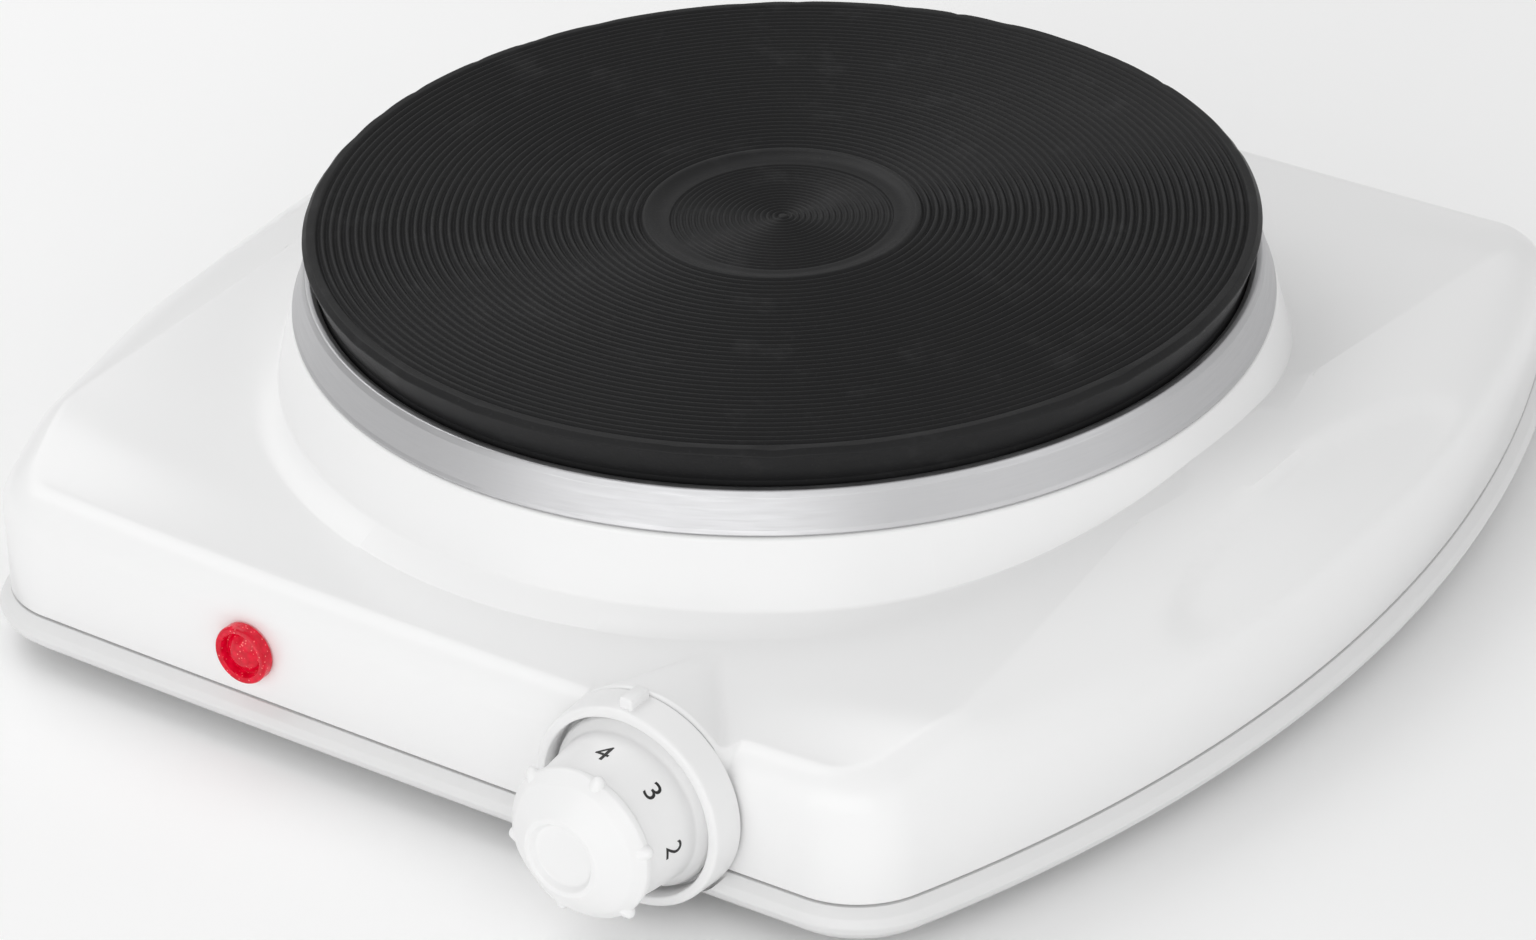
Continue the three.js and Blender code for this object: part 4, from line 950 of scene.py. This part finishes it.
def build_knob():
    """The knob: a ringed end, a scalloped grip with nubs, a neck and the numbered skirt."""
    profile = rounded([
        (0.0, KNOB_FRONT + 1.1),
        (CAP_R - 1.5, KNOB_FRONT + 1.1, 0.6),
        (CAP_R - 0.7, KNOB_FRONT, 0.4),
        (CAP_R + 0.3, KNOB_FRONT, 0.5),
        (9.2, KNOB_FRONT + 0.9, 1.2),
        (13.4, KNOB_FRONT + 3.9, 2.5),
        (GRIP_R, GRIP_RIM - 0.5, 0.8),
        (GRIP_R, GRIP_RIM + 0.7, 0.5),
        (SKIRT_TOP_R, NECK, 0.5),
        (SKIRT_LOW_R, FLARE, 1.4),
        (SKIRT_R - 0.4, KNOB_BACK - 2.3, 0.9),
        (SKIRT_R, KNOB_BACK - 1.5, 0.5),
        (SKIRT_R, KNOB_BACK, 0.3),
        (SKIRT_R - 2, KNOB_BACK),
        (KNOB_HOLLOW_R, KNOB_FRONT + 12),
        (SHAFT_HUB_R, KNOB_FRONT + 12),
        (SHAFT_HUB_R, KNOB_FRONT + 7),
        (0.0, KNOB_FRONT + 7),
    ], 5)[1:-1]
    rings = np.array(front_rings(profile, KNOB_AROUND, KNOB_X, KNOB_Z))
    bearing = np.arange(KNOB_AROUND) * TAU / KNOB_AROUND - NUB_TURN
    between_nubs = (1 - np.cos(NUB_COUNT * bearing)) / 2
    for ring, (radius, y) in zip(rings, profile):
        if CAP_R + 1 < radius <= GRIP_R and y < GRIP_RIM:
            reach = math.sin(math.pi * (y - KNOB_FRONT) / (GRIP_RIM - KNOB_FRONT))
            inward = 1 - SCALLOP * reach * between_nubs / radius
            ring[:, 0] = KNOB_X + (ring[:, 0] - KNOB_X) * inward
            ring[:, 2] = KNOB_Z + (ring[:, 2] - KNOB_Z) * inward
    turned = loft(rings, capped=True)
    nubs = [nub_mesh(NUB_TURN + i * TAU / NUB_COUNT) for i in range(NUB_COUNT)]
    piece = add_piece("control_knob_body", *merge(turned, *nubs), "white_plastic", body="knob")
    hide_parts("control_knob")


def nub_mesh(angle):
    """A small rounded peg that stands out of the grip's rim."""
    out = Vector((math.cos(angle), 0, math.sin(angle)))
    centre = Vector((KNOB_X, GRIP_RIM, KNOB_Z)) + out * (GRIP_R - 0.3)
    side = Vector((-out.z, 0, out.x))
    back = Vector((0, 1, 0))
    profile = ((1.5, -1.4), (1.2, -0.2), (0.95, 0.5), (0.7, 1.05), (0.4, 1.4), (0.12, 1.5))
    around = 24
    rings = [
        [
            tuple(centre + out * height + (side * math.cos(a) + back * math.sin(a)) * NUB_R * wide)
            for a in np.arange(around) * TAU / around
        ]
        for wide, height in profile
    ]
    return loft(rings, capped=True)


build_bezel()
build_knob()

# ---------- Dial numbers ----------

NUMBER_STEP = 46.0  # degrees between two numbers
NUMBER_AT_TOP = 4
NUMBER_LAST = 4
NUMBER_HEIGHT = 4.2
NUMBER_SQUASH = 0.95
NUMBER_Y = (FLARE + NECK) / 2 + 0.2
NUMBER_PROUD = 0.05


def skirt_point(angle, y):
    """A point on the printed side of the knob's skirt."""
    run = (y - NECK) / (FLARE - NECK)
    radius = SKIRT_TOP_R + (SKIRT_LOW_R - SKIRT_TOP_R) * run + NUMBER_PROUD
    return (KNOB_X + radius * math.cos(angle), y, KNOB_Z + radius * math.sin(angle))


def number_mesh(digit):
    """A flat digit as triangles, one unit high, centred on the origin."""
    curve = bpy.data.curves.new("digit", "FONT")
    curve.body = str(digit)
    curve.align_x = "CENTER"
    curve.resolution_u = 6
    holder = to_scene(bpy.data.objects.new("digit", curve))
    bpy.context.view_layer.update()
    evaluated = holder.evaluated_get(bpy.context.evaluated_depsgraph_get())
    mesh = bpy.data.meshes.new_from_object(evaluated)
    bpy.data.objects.remove(holder)
    work = bmesh.new()
    work.from_mesh(mesh)
    bmesh.ops.remove_doubles(work, verts=work.verts, dist=1e-5)
    bmesh.ops.triangulate(work, faces=work.faces)
    bmesh.ops.subdivide_edges(work, edges=work.edges, cuts=2, use_grid_fill=True)
    bmesh.ops.triangulate(work, faces=work.faces)
    work.verts.index_update()
    points = np.array([v.co for v in work.verts])
    faces = [tuple(v.index for v in f.verts) for f in work.faces]
    work.free()
    points -= (points.max(0) + points.min(0)) / 2
    points /= np.ptp(points[:, 1])
    return points, faces


def build_numbers():
    """The digits 0 to 4, wrapped round the skirt with their tops towards the bezel."""
    radius = (SKIRT_TOP_R + SKIRT_LOW_R) / 2
    for digit in range(NUMBER_LAST + 1):
        points, faces = number_mesh(digit)
        middle = math.radians(90 + (digit - NUMBER_AT_TOP) * NUMBER_STEP)
        vertices = [
            skirt_point(middle - across * NUMBER_HEIGHT / radius,
                        NUMBER_Y + high * NUMBER_HEIGHT * NUMBER_SQUASH)
            for across, high, _ in points
        ]
        piece = add_piece(f"dial_number_{digit}", vertices, faces, None, body="knob", material=INK)
        solid = piece.modifiers.new("ink", "SOLIDIFY")
        solid.thickness = NUMBER_PROUD * MM


build_numbers()

# ---------- Pilot lamp ----------

LENS_STEM_R = 4.7
LENS_BORE_R = 3.9
LENS_SEAT = LAMP_FRONT + 2.6


def build_lens():
    """A red lens: a low dome, a groove round it, a raised ring and a hollow stem behind."""
    profile = rounded([
        (0.0, LAMP_FRONT + 0.2),
        (2.3, LAMP_FRONT + 0.4, 1.2),
        (3.8, LAMP_FRONT + 1.3, 0.6),
        (4.0, LAMP_FRONT + 2.0, 0.2),
        (4.4, LAMP_FRONT + 2.0, 0.2),
        (4.6, LAMP_FRONT + 0.2, 0.2),
        (LAMP_R - 0.3, LAMP_FRONT, 0.4),
        (LAMP_R, LAMP_FRONT + 0.6, 0.3),
        (LAMP_R, LENS_SEAT, 0.2),
        (LENS_STEM_R, LENS_SEAT),
        (LENS_STEM_R, LAMP_BACK),
        (LENS_BORE_R, LAMP_BACK),
        (LENS_BORE_R, LENS_SEAT),
        (0.0, LENS_SEAT - 0.8),
    ], 5)[1:-1]
    vertices, faces = loft(front_rings(profile, 96, LAMP_X, LAMP_Z), capped=True)
    piece = add_piece("pilot_lens", vertices, faces, "red_lens")
    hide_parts("lamp_lens")


build_lens()

# ---------- Cable outlet ----------

GLAND_BORE_R = 3.6
GLAND_GROOVE = 1.5  # the groove that the housing's sheet sits in


def build_gland():
    """A rubber bush: a flange on each side of the wall and a bore for the cord."""
    profile = rounded([
        (GLAND_BORE_R, GLAND_IN),
        (GLAND_R, GLAND_IN, 0.4),
        (GLAND_R, GLAND_IN + 3, 0.3),
        (GLAND_R - GLAND_GROOVE, GLAND_IN + 3),
        (GLAND_R - GLAND_GROOVE, GLAND_OUT - 1.9),
        (GLAND_R, GLAND_OUT - 1.9, 0.2),
        (GLAND_R, GLAND_OUT - 0.6, 0.5),
        (GLAND_R - 0.6, GLAND_OUT, 0.4),
        (GLAND_BORE_R + 0.6, GLAND_OUT, 0.5),
        (GLAND_BORE_R, GLAND_OUT - 0.8, 0.3),
        (GLAND_BORE_R, GLAND_IN),
    ], 4)[:-1]
    vertices, faces = loft(front_rings(profile, 64, OUTLET_X, OUTLET_Z), closed=True)
    piece = add_piece("cable_gland_ring", vertices, faces, "black_rubber")
    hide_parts("cable_gland")


build_gland()

# ---------- Feet and their screws ----------

FOOT_HOLLOW_R = 3.9  # the screw's head sits in the foot's hollow
FOOT_HOLE_R = 1.9
SCREW_SEAT = 2.4
SCREW_R = 1.6
SCREW_TIP_R = 0.02
CROSS_ARM = 1.7
CROSS_HALF_WIDTH = 0.36
CROSS_DEPTH = 0.7


def upright(node):
    """The axis, the radius, the bottom and the top of a round node that stands upright."""
    low, high = node_box(node)
    x, y = (low[:2] + high[:2]) / 2
    return x, y, (high[0] - low[0]) / 2, low[2], high[2]


def build_foot(place):
    x, y, radius, low, high = upright(f"foot_{place}")
    profile = rounded([
        (FOOT_HOLLOW_R, SCREW_SEAT),
        (FOOT_HOLLOW_R, low + 0.3, 0.2),
        (FOOT_HOLLOW_R + 0.4, low, 0.3),
        (radius - 1.1, low, 0.8),
        (radius - 0.2, low + 1.1, 0.5),
        (radius, high - 0.3, 0.2),
        (radius - 0.3, high),
        (FOOT_HOLE_R, high),
        (FOOT_HOLE_R, SCREW_SEAT),
    ], 4)
    vertices, faces = loft(turned_rings(profile, 72, x, y), closed=True)
    piece = add_piece(f"rubber_foot_{place}", vertices, faces, "black_rubber")
    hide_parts(f"foot_{place}")


def build_screw(place):
    """A round-headed screw, head down, with a cross recess."""
    x, y, head, low, high = upright(f"housing_screw_{place}")
    profile = rounded([
        (SCREW_TIP_R, low),
        (head - 0.8, low, 0.5),
        (head, low + 0.6, 0.4),
        (head, low + 1.2),
        (SCREW_R, low + 1.2),
        (SCREW_R, high - 1.5),
        (SCREW_TIP_R, high),
    ], 4)
    vertices, faces = loft(turned_rings(profile, 48, x, y), capped=True)
    piece = add_piece(f"tray_screw_{place}", vertices, faces, "zinc_steel")
    arm, width = CROSS_ARM, CROSS_HALF_WIDTH
    carve(
        piece,
        block((x - arm, y - width, low - 1), (x + arm, y + width, low + CROSS_DEPTH)),
        block((x - width, y - arm, low - 1), (x + width, y + arm, low + CROSS_DEPTH)),
    )
    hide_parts(f"housing_screw_{place}")


for place in ("front_left", "front_right", "back_left", "back_right"):
    build_foot(place)
    build_screw(place)

# ---------- Finishes of the nodes that stay as the CAD made them ----------

NODE_FINISH = {
    "centre_stud": "zinc_steel", "clamp_bridge": "zinc_steel", "contact_leaf_fixed": "brass",
    "contact_leaf_moving": "brass", "cutout_cap": "zinc_steel", "earth_screw": "brass",
    "earth_tab": "brass", "heat_shield": "zinc_steel", "heater_terminal_left": "ceramic",
    "heater_terminal_right": "ceramic", "heating_coil_inner": "zinc_steel",
    "heating_coil_middle": "zinc_steel", "heating_coil_outer": "zinc_steel",
    "insulation_disc": "mica", "lamp_body": "white_plastic", "lamp_bulb": "clear_glass",
    "lamp_clip": "zinc_steel", "lead_earth": "green_silicone",
    "lead_lamp_neutral": "blue_silicone", "lead_lamp_switched": "brown_silicone",
    "lead_live": "brown_silicone", "lead_neutral": "blue_silicone",
    "lead_switched": "brown_silicone", "plate_cover_pan": "zinc_steel",
    "stud_nut": "zinc_steel", "stud_spacer": "zinc_steel", "stud_washer": "zinc_steel",
    "terminal_block": "ceramic", "terminal_screw_earth": "brass", "terminal_screw_live": "brass",
    "terminal_screw_neutral": "brass", "thermal_cutout": "bakelite", "thermostat_body": "ceramic",
    "thermostat_bracket": "zinc_steel", "thermostat_cam": "bakelite",
    "thermostat_screw_left": "zinc_steel", "thermostat_screw_right": "zinc_steel",
    "thermostat_shaft": "zinc_steel",
}
for name, finish in NODE_FINISH.items():
    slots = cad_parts[name].data.materials
    slots.clear()
    slots.append(FINISHES[finish])

# ---------- Floor and light ----------

FLOOR_HALF = 3.0  # metres
SKY_LEFT_TO_RIGHT = (0.46, 0.66)  # strength of the surroundings

# Each light's place in metres, its size in metres and its power in watts.
SOFT_BOXES = {
    "overhead": ((-0.7, 0.1, 1.05), (1.0, 1.0), 5.5),
    "front_right": ((0.3, -1.5, 0.55), (2.2, 1.1), 10.5),
    "right": ((1.4, 0.0, 0.6), (1.6, 1.1), 3),
}
LIT_POINT = (0, 0, 0.04)


def build_floor():
    nodes = Nodes("floor")
    cloud = nodes.noise(3, 4)
    tone = nodes.mix(cloud, (0.94, 0.94, 0.94), (0.97, 0.97, 0.97))
    nodes.bump(nodes.noise(300, 3), 0.02)
    material = nodes.finish(Base_Color=tone, Roughness=0.7)
    mesh = bpy.data.meshes.new("floor")
    half = FLOOR_HALF
    corners = [(-half, -half, 0), (half, -half, 0), (half, half, 0), (-half, half, 0)]
    mesh.from_pydata(corners, [], [(0, 1, 2, 3)])
    mesh.materials.append(material)
    floor = to_scene(bpy.data.objects.new("floor", mesh))


def soft_box(name, at, size, power):
    data = bpy.data.lights.new(name, "AREA")
    data.shape = "RECTANGLE"
    data.size, data.size_y = size
    data.energy = power
    light = to_scene(bpy.data.objects.new(name, data))
    turn = (Vector(LIT_POINT) - Vector(at)).to_track_quat("-Z", "Y").to_matrix().to_4x4()
    light.matrix_world = Matrix.Translation(at) @ turn


def build_light():
    """White surroundings, dimmer on the left, and three soft boxes."""
    world = bpy.data.worlds.new("studio")
    world.use_nodes = True
    tree = world.node_tree
    background = tree.nodes["Background"]
    background.inputs["Color"].default_value = (1, 1, 1, 1)
    direction = tree.nodes.new("ShaderNodeSeparateXYZ")
    tree.links.new(tree.nodes.new("ShaderNodeTexCoord").outputs["Generated"], direction.inputs[0])
    sky = tree.nodes.new("ShaderNodeMapRange")
    set_range(sky, -1, 1, *SKY_LEFT_TO_RIGHT)
    tree.links.new(direction.outputs["X"], sky.inputs["Value"])
    tree.links.new(sky.outputs["Result"], background.inputs["Strength"])
    bpy.context.scene.world = world
    for name, (at, size, power) in SOFT_BOXES.items():
        soft_box(name, at, size, power)


build_floor()
build_light()
bpy.context.scene.view_settings.view_transform = "Standard"
